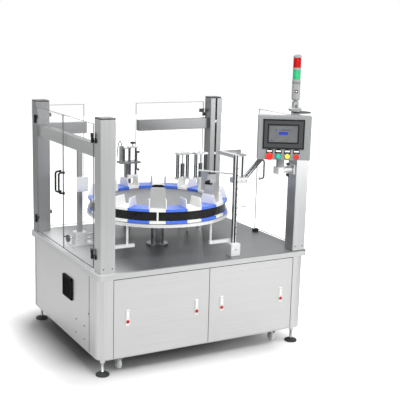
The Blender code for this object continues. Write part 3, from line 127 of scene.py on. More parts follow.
def mottle(tree, shader, colours, scale, roughness=None, bump=0.0, depth=0.0002, stretch=(1, 1, 1)):
    # Two colours and two roughnesses mixed by noise on Object coordinates, with an optional bump
    place = addNode(tree, "ShaderNodeTexCoord")
    spread = addNode(tree, "ShaderNodeMapping", {"Scale": stretch}, {"Vector": place.outputs["Object"]})
    noise = addNode(tree, "ShaderNodeTexNoise", {"Scale": scale, "Detail": 4.0, "Roughness": 0.6}, {"Vector": spread.outputs["Vector"]})
    ramp = addNode(tree, "ShaderNodeValToRGB", None, {"Fac": noise.outputs["Fac"]})
    ramp.color_ramp.elements[0].position = 0.32
    ramp.color_ramp.elements[1].position = 0.68
    ramp.color_ramp.elements[0].color = linear(colours[0])
    ramp.color_ramp.elements[1].color = linear(colours[1])
    tree.links.new(ramp.outputs["Color"], shader.inputs["Base Color"])
    if roughness:
        gloss = addNode(tree, "ShaderNodeMapRange", {"To Min": roughness[0], "To Max": roughness[1]}, {"Value": noise.outputs["Fac"]})
        tree.links.new(gloss.outputs["Result"], shader.inputs["Roughness"])
    if bump:
        relief = addNode(tree, "ShaderNodeBump", {"Strength": bump, "Distance": depth}, {"Height": noise.outputs["Fac"]})
        tree.links.new(relief.outputs["Normal"], shader.inputs["Normal"])
    return noise


def brushedMetal(name, look):
    # Long scratches from a belt, which spread the highlight along the sheet. Real ones are 0.1 mm apart,
    # and here they are drawn about 2 mm apart so that they show.
    material, tree, shader = startFinish(name, look["colours"][0], look["roughness"][0], 1.0)
    along = {"x": (1.5, 500.0, 500.0), "y": (500.0, 1.5, 500.0), "z": (500.0, 500.0, 1.5)}[look["brush"]]
    noise = mottle(tree, shader, look["colours"], 1.0, look["roughness"], 0.12, 0.0002, along)
    # Broad, faint unevenness, as rolled sheet shows in its reflections
    place = addNode(tree, "ShaderNodeTexCoord")
    broad = addNode(tree, "ShaderNodeTexNoise", {"Scale": 2.2, "Detail": 2.0}, {"Vector": place.outputs["Object"]})
    relief = [node for node in tree.nodes if node.type == "BUMP"][0]
    second = addNode(tree, "ShaderNodeBump", {"Strength": 0.08, "Distance": 0.01}, {"Height": broad.outputs["Fac"], "Normal": relief.outputs["Normal"]})
    tree.links.new(second.outputs["Normal"], shader.inputs["Normal"])
    return material


def plainFinish(name, look):
    # Cast, moulded, painted or turned surfaces: fine grain with a faint change of colour and gloss
    material, tree, shader = startFinish(name, look["colours"][0], look["roughness"][0], look.get("metallic", 0.0), **look.get("sockets", {}))
    mottle(tree, shader, look["colours"], look["scale"], look["roughness"], look.get("bump", 0.05), look.get("depth", 0.0002), look.get("stretch", (1, 1, 1)))
    return material


finishLooks = {
    # Stainless cabinet sheet, belt brushed from left to right: pale grey, soft streaky highlights
    "sheetAcross": ("brushed", {"colours": ("cbcccc", "dadad9"), "roughness": (0.3, 0.42), "brush": "x"}),
    # The folded edge under the deck plate, as pale as the cabinet
    "deckEdge": ("brushed", {"colours": ("c6c7c7", "d4d5d5"), "roughness": (0.3, 0.42), "brush": "x"}),
    # Square stainless tube, brushed along its length
    "postSteel": ("brushed", {"colours": ("bcbdbe", "cfd0d0"), "roughness": (0.28, 0.4), "brush": "z"}),
    # The same stainless tube in darker colours: painted shade for the posts, press frame and column at the back, also
    # used for the pull bosses
    "rearSteelShaded": ("brushed", {"colours": ("8e8f90", "a0a1a2"), "roughness": (0.3, 0.42), "brush": "z"}),
    # The same stainless beam in two tones: the rear beams darker as painted shade, and the left beam, running in depth,
    # lighter
    "beamSteelShaded": ("brushed", {"colours": ("898a8b", "989a9a"), "roughness": (0.3, 0.42), "brush": "x"}),
    "beamSteelDeep": ("brushed", {"colours": ("b2b3b4", "c2c3c4"), "roughness": (0.3, 0.42), "brush": "y"}),
    # Ground mild steel deck, darker than the sheet round it
    "groundSteel": ("plain", {"colours": ("77787a", "858688"), "roughness": (0.32, 0.45), "metallic": 0.55, "scale": 240.0, "bump": 0.04, "stretch": (0.04, 1, 1)}),
    # Bead-blasted aluminium table top
    "blastedAluminium": ("plain", {"colours": ("67686a", "77787a"), "roughness": (0.42, 0.55), "metallic": 0.9, "scale": 420.0, "bump": 0.12}),
    # Milled and clear-anodised aluminium blocks and plates
    "milledAluminium": ("plain", {"colours": ("d0d1d2", "e4e4e4"), "roughness": (0.25, 0.36), "metallic": 1.0, "scale": 160.0, "bump": 0.04, "stretch": (0.2, 1, 1)}),
    # Hard-chromed guide rods: almost a mirror
    "chromedRod": ("plain", {"colours": ("d8d9da", "e6e6e6"), "roughness": (0.06, 0.12), "metallic": 1.0, "scale": 60.0, "bump": 0.0}),
    # Rods at the back, a darker copy of the chromed rods: painted reflection of the dark sides of the machine
    "shadedRod": ("plain", {"colours": ("66686a", "828486"), "roughness": (0.1, 0.18), "metallic": 1.0, "scale": 60.0, "bump": 0.0}),
    # Turned steel column, a dull grey
    "turnedSteel": ("plain", {"colours": ("77797b", "87898b"), "roughness": (0.2, 0.3), "metallic": 1.0, "scale": 200.0, "bump": 0.03, "stretch": (0.1, 0.1, 1)}),
    # Pale anodised ring and clamps, nearly white
    "paleAnodised": ("plain", {"colours": ("d6d7d7", "e4e4e4"), "roughness": (0.32, 0.42), "metallic": 0.45, "scale": 160.0, "bump": 0.04}),
    # Bright zinc plate on forks, screws and nuts
    "zincPlate": ("plain", {"colours": ("b8babc", "cdcecf"), "roughness": (0.22, 0.38), "metallic": 1.0, "scale": 90.0, "bump": 0.03}),
    # Black glass-filled nylon: hinges, pulls, knobs
    "blackNylon": ("plain", {"colours": ("0e0e0e", "171718"), "roughness": (0.42, 0.56), "scale": 700.0, "bump": 0.15, "sockets": {"Specular_IOR_Level": 0.3}}),
    # Dull black foam and blackened screws, which hardly shine, also used for strips of painted shade in seams, gaps and
    # slots
    "dullBlack": ("plain", {"colours": ("060606", "0c0c0c"), "roughness": (0.6, 0.75), "scale": 500.0, "bump": 0.1, "sockets": {"Specular_IOR_Level": 0.12}}),
    # Dark grey rubber of the foot pads
    "padRubber": ("plain", {"colours": ("2c2d2e", "38393a"), "roughness": (0.5, 0.62), "scale": 500.0, "bump": 0.1, "sockets": {"Specular_IOR_Level": 0.3}}),
    # Satin black band round the table
    "blackEnamel": ("plain", {"colours": ("0d0d0e", "161617"), "roughness": (0.22, 0.34), "scale": 40.0, "bump": 0.03, "sockets": {"Specular_IOR_Level": 0.3}}),
    # White acetal plates and lock parts
    "whiteAcetal": ("plain", {"colours": ("e0e0de", "ebebe9"), "roughness": (0.3, 0.42), "scale": 120.0, "bump": 0.03}),
    # Blue acetal plates between the pockets
    "blueAcetal": ("plain", {"colours": ("3562d2", "4674e0"), "roughness": (0.24, 0.34), "scale": 120.0, "bump": 0.03, "sockets": {"Coat_Weight": 0.4, "Coat_Roughness": 0.12}}),
    # Powder coat on the panel box and drive, with fine orange peel
    "greyPowderCoat": ("plain", {"colours": ("929495", "9c9e9f"), "roughness": (0.36, 0.46), "metallic": 0.35, "scale": 520.0, "bump": 0.12}),
    # Dark bezel of the operator screen
    "bezelPlastic": ("plain", {"colours": ("343638", "3e4042"), "roughness": (0.34, 0.44), "scale": 600.0, "bump": 0.06}),
    # The display's back-lit film, under gloss
    "displayFilm": ("plain", {"colours": ("5f6162", "696b6c"), "roughness": (0.12, 0.18), "scale": 30.0, "bump": 0.0, "sockets": {"Coat_Weight": 0.6, "Coat_Roughness": 0.04}}),
    "displayBlue": ("plain", {"colours": ("27339c", "2f3dac"), "roughness": (0.14, 0.2), "scale": 60.0, "bump": 0.0}),
    "displayDark": ("plain", {"colours": ("494b4d", "55575a"), "roughness": (0.14, 0.2), "scale": 60.0, "bump": 0.0}),
    # Moulded button caps
    "redCap": ("plain", {"colours": ("dc2018", "ea2f24"), "roughness": (0.22, 0.32), "scale": 200.0, "bump": 0.03, "sockets": {"Coat_Weight": 0.3}}),
    "redLock": ("plain", {"colours": ("a80e10", "b81416"), "roughness": (0.26, 0.36), "scale": 200.0, "bump": 0.03}),
    "greenCap": ("plain", {"colours": ("1fae92", "2cc2a4"), "roughness": (0.22, 0.32), "scale": 200.0, "bump": 0.03, "sockets": {"Coat_Weight": 0.3}}),
    "yellowCap": ("plain", {"colours": ("efe23c", "f6ec58"), "roughness": (0.22, 0.32), "scale": 200.0, "bump": 0.03, "sockets": {"Coat_Weight": 0.3}}),
    # Pale grey moulded housing of the signal tower
    "towerHousing": ("plain", {"colours": ("8e8f90", "9d9e9e"), "roughness": (0.34, 0.44), "scale": 500.0, "bump": 0.05}),
    # Ribbed polycarbonate lenses, which pass light and hold their colour
    "greenLens": ("plain", {"colours": ("12a866", "24c480"), "roughness": (0.16, 0.24), "scale": 40.0, "bump": 0.0, "sockets": {"Transmission_Weight": 0.12, "IOR": 1.58, "Specular_IOR_Level": 0.3}}),
    "redLens": ("plain", {"colours": ("9c0604", "c0100c"), "roughness": (0.2, 0.3), "scale": 40.0, "bump": 0.0, "sockets": {"Transmission_Weight": 0.05, "IOR": 1.5, "Specular_IOR_Level": 0.12}}),
    # Pale grey polyurethane tread of the casters
    "treadRubber": ("plain", {"colours": ("d6d8d8", "e2e3e3"), "roughness": (0.4, 0.52), "scale": 300.0, "bump": 0.05}),
    # Clear blue air hose, seen dark against the light
    "hosePolyurethane": ("plain", {"colours": ("1a1b1e", "24262a"), "roughness": (0.25, 0.35), "scale": 90.0, "bump": 0.0}),
    # Bare card for the blank labels
    "labelCard": ("plain", {"colours": ("f2f2f0", "fafaf8"), "roughness": (0.5, 0.6), "scale": 300.0, "bump": 0.03}),
    # Steel sheet of the carton sleeves, brushed upright
    "brushedPlate": ("brushed", {"colours": ("c4c5c6", "d4d5d5"), "roughness": (0.32, 0.44), "brush": "z"}),
    # Galvanised plate inside the cabinet
    "galvanised": ("plain", {"colours": ("9fa3a6", "b4b8ba"), "roughness": (0.35, 0.5), "metallic": 0.9, "scale": 34.0, "bump": 0.04}),
}
finishes = {
    name: (brushedMetal if kind == "brushed" else plainFinish)(name, look) for name, (kind, look) in finishLooks.items()
}


def growOutside(tree, area, near, far):
    # A value that goes from near to far with the distance from a rectangle, given by its centre, halves and fade
    centre, halves, fade = area
    place = addNode(tree, "ShaderNodeTexCoord")
    parts = addNode(tree, "ShaderNodeSeparateXYZ", None, {"Vector": place.outputs["Object"]})
    beyond = {}
    for axisName, start, half in zip("XY", Vector(centre) + middle.xy, halves):
        shift = addNode(tree, "ShaderNodeMath", {"operation": "SUBTRACT", 1: start}, {0: parts.outputs[axisName]})
        reach = addNode(tree, "ShaderNodeMath", {"operation": "ABSOLUTE"}, {0: shift.outputs["Value"]})
        past = addNode(tree, "ShaderNodeMath", {"operation": "SUBTRACT", 1: half}, {0: reach.outputs["Value"]})
        kept = addNode(tree, "ShaderNodeMath", {"operation": "MAXIMUM", 1: 0.0}, {0: past.outputs["Value"]})
        beyond[axisName] = kept.outputs["Value"]
    corner = addNode(tree, "ShaderNodeCombineXYZ", None, beyond)
    outside = addNode(tree, "ShaderNodeVectorMath", {"operation": "LENGTH"}, {0: corner.outputs["Vector"]})
    grown = addNode(tree, "ShaderNodeMapRange", {"interpolation_type": "SMOOTHSTEP", "From Min": 0.0, "From Max": fade, "To Min": near, "To Max": far}, {"Value": outside.outputs["Value"]})
    return grown.outputs["Result"]


def tintOutside(tree, shader, area, near, far, colour):
    # Mixes a colour into the base colour, near of it inside the rectangle and far of it beyond the fade
    share = growOutside(tree, area, near, far)
    tint = addNode(tree, "ShaderNodeMix", {"data_type": "RGBA", 7: linear(colour)}, {0: share, 6: shader.inputs["Base Color"].links[0].from_socket})
    tree.links.new(tint.outputs[2], shader.inputs["Base Color"])


def clearFinish(name, look):
    # Cast acrylic: nearly unseen from the front, with a pale veil, and grey along its sawn edges
    material, tree, shader = startFinish(name, look["colour"], look["roughness"])
    shader.inputs["IOR"].default_value = 1.49
    shader.inputs["Alpha"].default_value = look["alpha"]
    place = addNode(tree, "ShaderNodeTexCoord")
    dust = addNode(tree, "ShaderNodeTexNoise", {"Scale": 5.0, "Detail": 3.0}, {"Vector": place.outputs["Object"]})
    gloss = addNode(tree, "ShaderNodeMapRange", {"To Min": look["roughness"], "To Max": look["roughness"] + 0.06}, {"Value": dust.outputs["Fac"]})
    tree.links.new(gloss.outputs["Result"], shader.inputs["Roughness"])
    return material


# Painted into the ground deck's colour: a dark patch under the table, painted shade and painted reflection of the
# table's underside, and a paler tone towards the deck's left end, painted reflection of the bright room
deckTree = finishes["groundSteel"].node_tree
for area, near, far, colour in (
    (((0.1, 0.12), (0.16, 0.2), 0.3), 0.8, 0.0, "2e2f30"),
    (((0.25, 0.0), (0.7, 2.0), 0.32), 0.0, 0.95, "dedfe0"),
):
    tintOutside(deckTree, deckTree.nodes["Principled BSDF"], area, near, far, colour)
finishes["clearAcrylic"] = clearFinish("clearAcrylic", {"colour": "fafcfc", "roughness": 0.03, "alpha": 0.06})
finishes["sawnAcrylic"] = clearFinish("sawnAcrylic", {"colour": "6c7273", "roughness": 0.3, "alpha": 0.9})
finishOrder = list(finishes)
print("finishes made:", len(finishes))


# Shapes: each is built by itself with bmesh operators and joined to its piece with the name of its finish
def join(piece, shape, finish, place=None):
    if place is not None:
        bmesh.ops.transform(shape, matrix=place, verts=shape.verts)
    bmesh.ops.recalc_face_normals(shape, faces=shape.faces)
    if finish is not None:
        for face in shape.faces:
            face.material_index = finishOrder.index(finish)
    mesh = bpy.data.meshes.new("shape")
    shape.to_mesh(mesh)
    shape.free()
    piece.from_mesh(mesh)
    bpy.data.meshes.remove(mesh)


def addBlock(piece, low, high, finish, edge=0.0, place=None, steps=2):
    low, high = Vector(low), Vector(high)
    shape = bmesh.new()
    bmesh.ops.create_cube(shape, size=1.0)
    bmesh.ops.scale(shape, vec=high - low, verts=shape.verts)
    bmesh.ops.translate(shape, vec=(low + high) / 2, verts=shape.verts)
    if edge:
        bmesh.ops.bevel(shape, geom=shape.edges[:], offset=edge, segments=steps, profile=0.5, affect="EDGES", material=-1)
    join(piece, shape, finish, place)


def addTurned(piece, profile, finish, place=None, steps=32):
    shape = bmesh.new()
    verts = [shape.verts.new((radius, 0.0, height)) for radius, height in profile]
    edges = [shape.edges.new(pair) for pair in zip(verts, verts[1:])]
    if profile[0][0] > 0 and profile[-1][0] > 0:
        edges.append(shape.edges.new((verts[-1], verts[0])))
    bmesh.ops.spin(shape, geom=verts + edges, cent=(0, 0, 0), axis=(0, 0, 1), angle=2 * pi, steps=steps, use_merge=True)
    bmesh.ops.remove_doubles(shape, verts=shape.verts, dist=0.000001)
    join(piece, shape, finish, place)


def alongLine(start, end):
    run = Vector(end) - Vector(start)
    return Matrix.Translation(start) @ run.to_track_quat("Z", "Y").to_matrix().to_4x4(), run.length


def addRod(piece, start, end, radius, finish, edge=0.0008, steps=20):
    place, length = alongLine(start, end)
    edge = min(edge, radius * 0.4, length * 0.4)
    profile = [(0, 0), (radius - edge, 0), (radius, edge), (radius, length - edge), (radius - edge, length), (0, length)]
    addTurned(piece, profile, finish, place, steps)


def addPrism(piece, outline, height, finish, place=None, edge=0.0):
    shape = bmesh.new()
    face = shape.faces.new([shape.verts.new((x, y, 0.0)) for x, y in outline])
    made = bmesh.ops.extrude_face_region(shape, geom=[face])
    bmesh.ops.translate(shape, vec=(0, 0, height), verts=[v for v in made["geom"] if isinstance(v, bmesh.types.BMVert)])
    if edge:
        rims = [e for e in shape.edges if abs(e.verts[0].co.z - e.verts[1].co.z) < 1e-6]
        bmesh.ops.bevel(shape, geom=rims, offset=edge, segments=2, profile=0.5, affect="EDGES", material=-1)
    join(piece, shape, finish, place)


def addTube(piece, points, radius, finish, sides=14):
    # A ring is carried along the points and the rings are bridged by extrusion
    shape = bmesh.new()
    points = [Vector(point) for point in points]
    ring = bmesh.ops.create_circle(shape, cap_ends=False, segments=sides, radius=radius)["verts"]
    heading = (points[1] - points[0]).normalized()
    turn = heading.to_track_quat("Z", "Y").to_matrix().to_4x4()
    bmesh.ops.transform(shape, matrix=Matrix.Translation(points[0]) @ turn, verts=ring)
    edges = [edge for edge in shape.edges]
    first = edges[:]
    for index in range(1, len(points)):
        before = points[index] - points[index - 1]
        after = points[min(index + 1, len(points) - 1)] - points[index]
        wanted = (before.normalized() + after.normalized()).normalized() if after.length > 0 else before.normalized()
        made = bmesh.ops.extrude_edge_only(shape, edges=edges)
        verts = [item for item in made["geom"] if isinstance(item, bmesh.types.BMVert)]
        edges = [item for item in made["geom"] if isinstance(item, bmesh.types.BMEdge)]
        swing = heading.rotation_difference(wanted).to_matrix().to_4x4()
        move = Matrix.Translation(points[index]) @ swing @ Matrix.Translation(-points[index - 1])
        bmesh.ops.transform(shape, matrix=move, verts=verts)
        heading = wanted
    bmesh.ops.contextual_create(shape, geom=first)
    bmesh.ops.contextual_create(shape, geom=edges)
    join(piece, shape, finish)


def addScrew(piece, centre, outward, radius=0.004, finish="zincPlate", proud=0.0025):
    # A socket-head screw: round head with a dark hexagon recess
    place, _ = alongLine(centre, Vector(centre) + Vector(outward))
    head = [(0, proud * 0.4), (radius * 0.5, proud * 0.4), (radius * 0.55, proud), (radius * 0.9, proud), (radius, proud * 0.8), (radius, 0), (0, 0)]
    addTurned(piece, head, finish, place, 14)
    addTurned(piece, [(0, proud * 0.41), (radius * 0.5, proud * 0.41), (radius * 0.5, proud * 0.45), (0, proud * 0.45)], "blackNylon", place, 6)


def arcPoints(inner, outer, start, end, steps):
    turns = [radians(start + (end - start) * step / steps) for step in range(steps + 1)]
    return [(outer * cos(t), outer * sin(t)) for t in turns] + [(inner * cos(t), inner * sin(t)) for t in reversed(turns)]


def turnZ(degrees):
    return Matrix.Rotation(radians(degrees), 4, "Z")


def finishPiece(name, shape, body, replaced=()):
    bmesh.ops.translate(shape, vec=middle, verts=shape.verts)
    used = sorted({face.material_index for face in shape.faces})
    for face in shape.faces:
        face.material_index = used.index(face.material_index)
    mesh = bpy.data.meshes.new(name)
    shape.to_mesh(mesh)
    shape.free()
    for index in used:
        mesh.materials.append(finishes[finishOrder[index]])
    mesh.shade_smooth()
    mesh.set_sharp_from_angle(angle=radians(50))
    piece = bpy.data.objects.new(name, mesh)
    bpy.context.scene.collection.objects.link(piece)
    weights = piece.modifiers.new("face weights", "WEIGHTED_NORMAL")
    weights.keep_sharp = True
    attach(piece, body)
    if replaced:
        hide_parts(*replaced)
    return piece


def dressNode(node, finish):
    thing = frame["nodes"][node]
    if not thing.data.materials:
        thing.data.materials.append(finishes[finish])
    for slotItem in thing.material_slots:
        slotItem.link = "OBJECT"
        slotItem.material = finishes[finish]


# Posts with their caps, hinge halves and beams
posts = {"x": 0.725, "y": 0.605, "half": 0.05, "low": deckTop + seat, "high": 1.6553, "cap": 0.01}
hinges = {"off": 0.0135, "step": 0.007, "knuckle": 0.008, "length": 0.03}


def leafPlace(signX, signY, along, outside):
    along, outside = Vector(along), Vector(outside)
    corner = Vector((signX * posts["x"], signY * posts["y"], 0.0)) + posts["half"] * (along + outside)
    place = Matrix.Identity(4)
    place.col[0][:3] = along
    place.col[1][:3] = outside
    place.col[3][:3] = corner + hinges["step"] * along + hinges["off"] * outside
    return place


leaves = {
    # name: (post, runs along, faces, width, pull finish)
    "left_front_leaf": (leafPlace(-1, -1, (0, 1, 0), (-1, 0, 0)), 0.553, "blackNylon"),
    "left_rear_leaf": (leafPlace(-1, 1, (0, -1, 0), (-1, 0, 0)), 0.553, "blackNylon"),
    "right_leaf": (leafPlace(1, -1, (0, 1, 0), (1, 0, 0)), 0.553, "bezelPlastic"),
    "rear_left_leaf": (leafPlace(-1, 1, (1, 0, 0), (0, 1, 0)), 0.305, None),
    "rear_right_leaf": (leafPlace(1, 1, (-1, 0, 0), (0, 1, 0)), 0.615, "blackNylon"),
}
hingeHeights = (0.8, 1.535)


def addHingeHalf(piece, place, height, moving):
    # One half of a black nylon hinge: half of the knuckle, a plate with rounded corners and two screws
    low, high = (height + seat / 2, height + hinges["length"]) if moving else (height - hinges["length"], height - seat / 2)
    foot = place.translation
    addRod(piece, foot + Vector((0, 0, low)), foot + Vector((0, 0, high)), hinges["knuckle"], "blackNylon", 0.001, 24)
    if moving:
        near, far, back, front = 0.001, 0.042, -0.0106, -0.006
    else:
        near, far, back, front = -0.041, -0.001, -0.0134, -0.0055
    addBlock(piece, (near, back, low + 0.001), (far, front, high - 0.001), "blackNylon", 0.0012, place)
    for share in (0.28, 0.72):
        spot = place @ Vector((0.5 * (near + far) + (0.006 if moving else -0.006), front - 0.0004, low + (high - low) * share))
        addScrew(piece, spot, place.col[1][:3], 0.0032)


def addPost(piece, signX, signY, finish="postSteel"):
    x, y, half = signX * posts["x"], signY * posts["y"], posts["half"]
    addBlock(piece, (x - half, y - half, posts["low"]), (x + half, y + half, posts["high"]), finish, 0.003, steps=3)
    lip = half - 0.001
    addBlock(piece, (x - lip, y - lip, posts["high"] - 0.001), (x + lip, y + lip, posts["high"] + posts["cap"]), "bezelPlastic", 0.002)


def addPostScrews(piece, signX, signY, height):
    for shift in (-0.03, 0.03):
        x, y = signX * posts["x"] + shift, signY * posts["y"] + signY * (posts["half"] - 0.0002)
        addScrew(piece, (x, y, height), (0, signY, 0), 0.004, "dullBlack")


def addHinges(piece, names):
    for name in names:
        for height in hingeHeights:
            addHingeHalf(piece, leaves[name][0], height, False)


beams = {"low": 1.41, "high": 1.495, "inner": 0.764, "back": 0.644, "wide": 0.05, "stub": 0.305, "run": 0.615}
piece = bmesh.new()
addPost(piece, -1, -1)
addPostScrews(piece, -1, -1, 0.722)
addHinges(piece, ["left_front_leaf"])
finishPiece("frontLeftPost", piece, "base", ["front_left_post"])

piece = bmesh.new()
addPost(piece, -1, 1, "rearSteelShaded")
addHinges(piece, ["left_rear_leaf", "rear_left_leaf"])
addBlock(piece, (-0.676, beams["back"] - beams["wide"], beams["low"]), (-0.674 + beams["stub"], beams["back"], beams["high"]), "beamSteelShaded", 0.003)
finishPiece("rearLeftPost", piece, "base", ["rear_left_post"])

piece = bmesh.new()
reach = posts["y"] - posts["half"] - seat
addBlock(piece, (-beams["inner"], -reach, beams["low"]), (-beams["inner"] + beams["wide"], reach, beams["high"]), "beamSteelDeep", 0.003)
addBlock(piece, (-beams["inner"] + 0.003, -reach + 0.001, beams["high"] - 0.001), (-beams["inner"] + beams["wide"] - 0.003, reach - 0.001, beams["high"] + 0.0003), "turnedSteel")
finishPiece("leftBeam", piece, "base", ["left_beam"])

piece = bmesh.new()
addPost(piece, 1, -1)
addPostScrews(piece, 1, -1, 0.722)
addHinges(piece, ["right_leaf"])
finishPiece("frontRightPost", piece, "base", ["front_right_post"])

# The rear right post has a groove down its front face with a strip and two white clips in it
groove = {"wide": 0.014, "deep": 0.012, "low": 1.0553}
piece = bmesh.new()
x, y, half = posts["x"], posts["y"], posts["half"]
addBlock(piece, (x - half, y - half + groove["deep"], posts["low"]), (x + half, y + half, posts["high"]), "rearSteelShaded", 0.003)
for side in (-1, 1):
    near, far = sorted((x + side * groove["wide"] / 2, x + side * half))
    addBlock(piece, (near, y - half, posts["low"]), (far, y - half + groove["deep"] + 0.004, posts["high"]), "rearSteelShaded", 0.002)
addBlock(piece, (x - 0.0075, y - half, posts["low"]), (x + 0.0075, y - half + groove["deep"] + 0.004, groove["low"]), "rearSteelShaded")
addBlock(piece, (x - 0.0065, y - half + 0.004, groove["low"]), (x + 0.0065, y - half + groove["deep"] + 0.001, posts["high"]), "blackNylon")
lip = half - 0.001
addBlock(piece, (x - lip, y - lip + groove["deep"], posts["high"] - 0.001), (x + lip, y + lip, posts["high"] + posts["cap"]), "bezelPlastic", 0.002)
for height in (1.2, 1.46):
    addBlock(piece, (x - 0.0066, y - half + 0.0005, height), (x + 0.0066, y - half + 0.006, height + 0.02), "whiteAcetal", 0.001)
addHinges(piece, ["rear_right_leaf"])
addBlock(piece, (0.676 - beams["run"], beams["back"] - beams["wide"], beams["low"]), (0.676, beams["back"], beams["high"]), "beamSteelShaded", 0.003)
finishPiece("rearRightPost", piece, "base", ["rear_right_post"])

# Clear leaves with their hinge halves and bow pulls
pane = {"thick": 0.006, "low": 0.704, "high": 1.622, "near": 0.006, "border": 0.004}
pull = {"middle": 1.165, "tall": 0.14, "reach": 0.042, "radius": 0.007, "inset": 0.03, "bend": 0.016}


def addPane(piece, place, width):
    shape = bmesh.new()
    low = Vector((pane["near"], -hinges["off"] - pane["thick"] / 2, pane["low"]))
    high = Vector((width - hinges["step"], -hinges["off"] + pane["thick"] / 2, pane["high"]))
    bmesh.ops.create_cube(shape, size=1.0)
    bmesh.ops.scale(shape, vec=high - low, verts=shape.verts)
    bmesh.ops.translate(shape, vec=(low + high) / 2, verts=shape.verts)
    # The sawn edge also shows as a thin border through both faces
    broad = [face for face in shape.faces if abs(face.normal.y) > 0.5]
    bmesh.ops.inset_individual(shape, faces=broad, thickness=pane["border"])
    for face in shape.faces:
        face.material_index = finishOrder.index("clearAcrylic" if face in broad else "sawnAcrylic")
    join(piece, shape, None, place)


def addPull(piece, place, width, finish):
    across = width - hinges["step"] - pull["inset"]
    face = -hinges["off"] + pane["thick"] / 2
    low, high = pull["middle"] - pull["tall"] / 2, pull["middle"] + pull["tall"] / 2
    out, bend = face + pull["reach"] - 0.001, pull["bend"]
    path = [(face + 0.002, low)]
    for step in range(7):
        turn = pi / 2 * step / 6
        path.append((out - bend + bend * sin(turn), low + bend - bend * cos(turn)))
    for step in range(7):
        turn = pi / 2 * step / 6
        path.append((out - bend + bend * cos(turn), high - bend + bend * sin(turn)))
    path.append((face + 0.002, high))
    addTube(piece, [place @ Vector((across, reach, height)) for reach, height in path], pull["radius"] - 0.0004, finish, 16)
    for height in (low, high):
        addRod(piece, place @ Vector((across, face + 0.0002, height)), place @ Vector((across, face + 0.011, height)), 0.0096, "rearSteelShaded" if finish == "bezelPlastic" else finish, 0.001, 24)


for name, (place, width, pullFinish) in leaves.items():
    piece = bmesh.new()
    addPane(piece, place, width)
    for height in hingeHeights:
        addHingeHalf(piece, place, height, True)
    if pullFinish:
        addPull(piece, place, width, pullFinish)
    words = name.split("_")
    finishPiece(words[0] + "".join(word.title() for word in words[1:]), piece, name, [name])
print("posts and leaves built")

# Deck: a ground plate with rounded corners on a pale folded edge, and a hole for the drive shaft
deck = {"x": 0.795, "y": 0.665, "low": 0.65, "high": 0.69, "corner": 0.025, "edge": 0.0015, "hole": 0.034, "split": 0.6845}
axis = Vector((-0.115, -0.11, 0.0))


def roundedRectangle(halfX, halfY, radius, steps=6):
    points = []
    for quarter, (signX, signY) in enumerate(((1, 1), (-1, 1), (-1, -1), (1, -1))):
        for step in range(steps + 1):
            turn = pi / 2 * (quarter + step / steps)
            points.append((signX * (halfX - radius) + radius * cos(turn), signY * (halfY - radius) + radius * sin(turn)))
    return points


def addHoledPlate(piece, outline, hole, radius, height, finish, rim, place=None, edge=0.0, steps=32):
    # Outer and inner loops at both heights: the walls are bridged, and the faces round the hole are filled
    shape = bmesh.new()
    loops = []
    for points in (outline, [(hole[0] + radius * cos(2 * pi * step / steps), hole[1] + radius * sin(2 * pi * step / steps)) for step in range(steps)]):
        for z in (0.0, height):
            verts = [shape.verts.new((px, py, z)) for px, py in points]
            loops.append([shape.edges.new(pair) for pair in zip(verts, verts[1:] + verts[:1])])
    outerLow, outerHigh, innerLow, innerHigh = loops
    for first, second in ((outerLow, outerHigh), (innerLow, innerHigh)):
        bmesh.ops.bridge_loops(shape, edges=first + second)
    for first, second in ((outerHigh, innerHigh), (outerLow, innerLow)):
        bmesh.ops.triangle_fill(shape, use_beauty=True, edges=first + second)
    bmesh.ops.recalc_face_normals(shape, faces=shape.faces)
    if edge:
        bmesh.ops.bevel(shape, geom=outerHigh + outerLow, offset=edge, segments=2, profile=0.5, affect="EDGES", material=-1)
    shape.normal_update()
    for face in shape.faces:
        face.material_index = finishOrder.index(finish if abs(face.normal.z) > 0.9 else rim)
    join(piece, shape, None, place)


piece = bmesh.new()
deckOutline = roundedRectangle(deck["x"], deck["y"], deck["corner"])
for low, high, rim, edge in ((deck["low"], deck["split"], "deckEdge", 0.0), (deck["split"], deck["high"], "groundSteel", deck["edge"])):
    addHoledPlate(piece, deckOutline, axis[:2], deck["hole"], high - low, "groundSteel", rim, Matrix.Translation((0, 0, low)), edge)
finishPiece("deckPlate", piece, "base", ["deck_plate"])

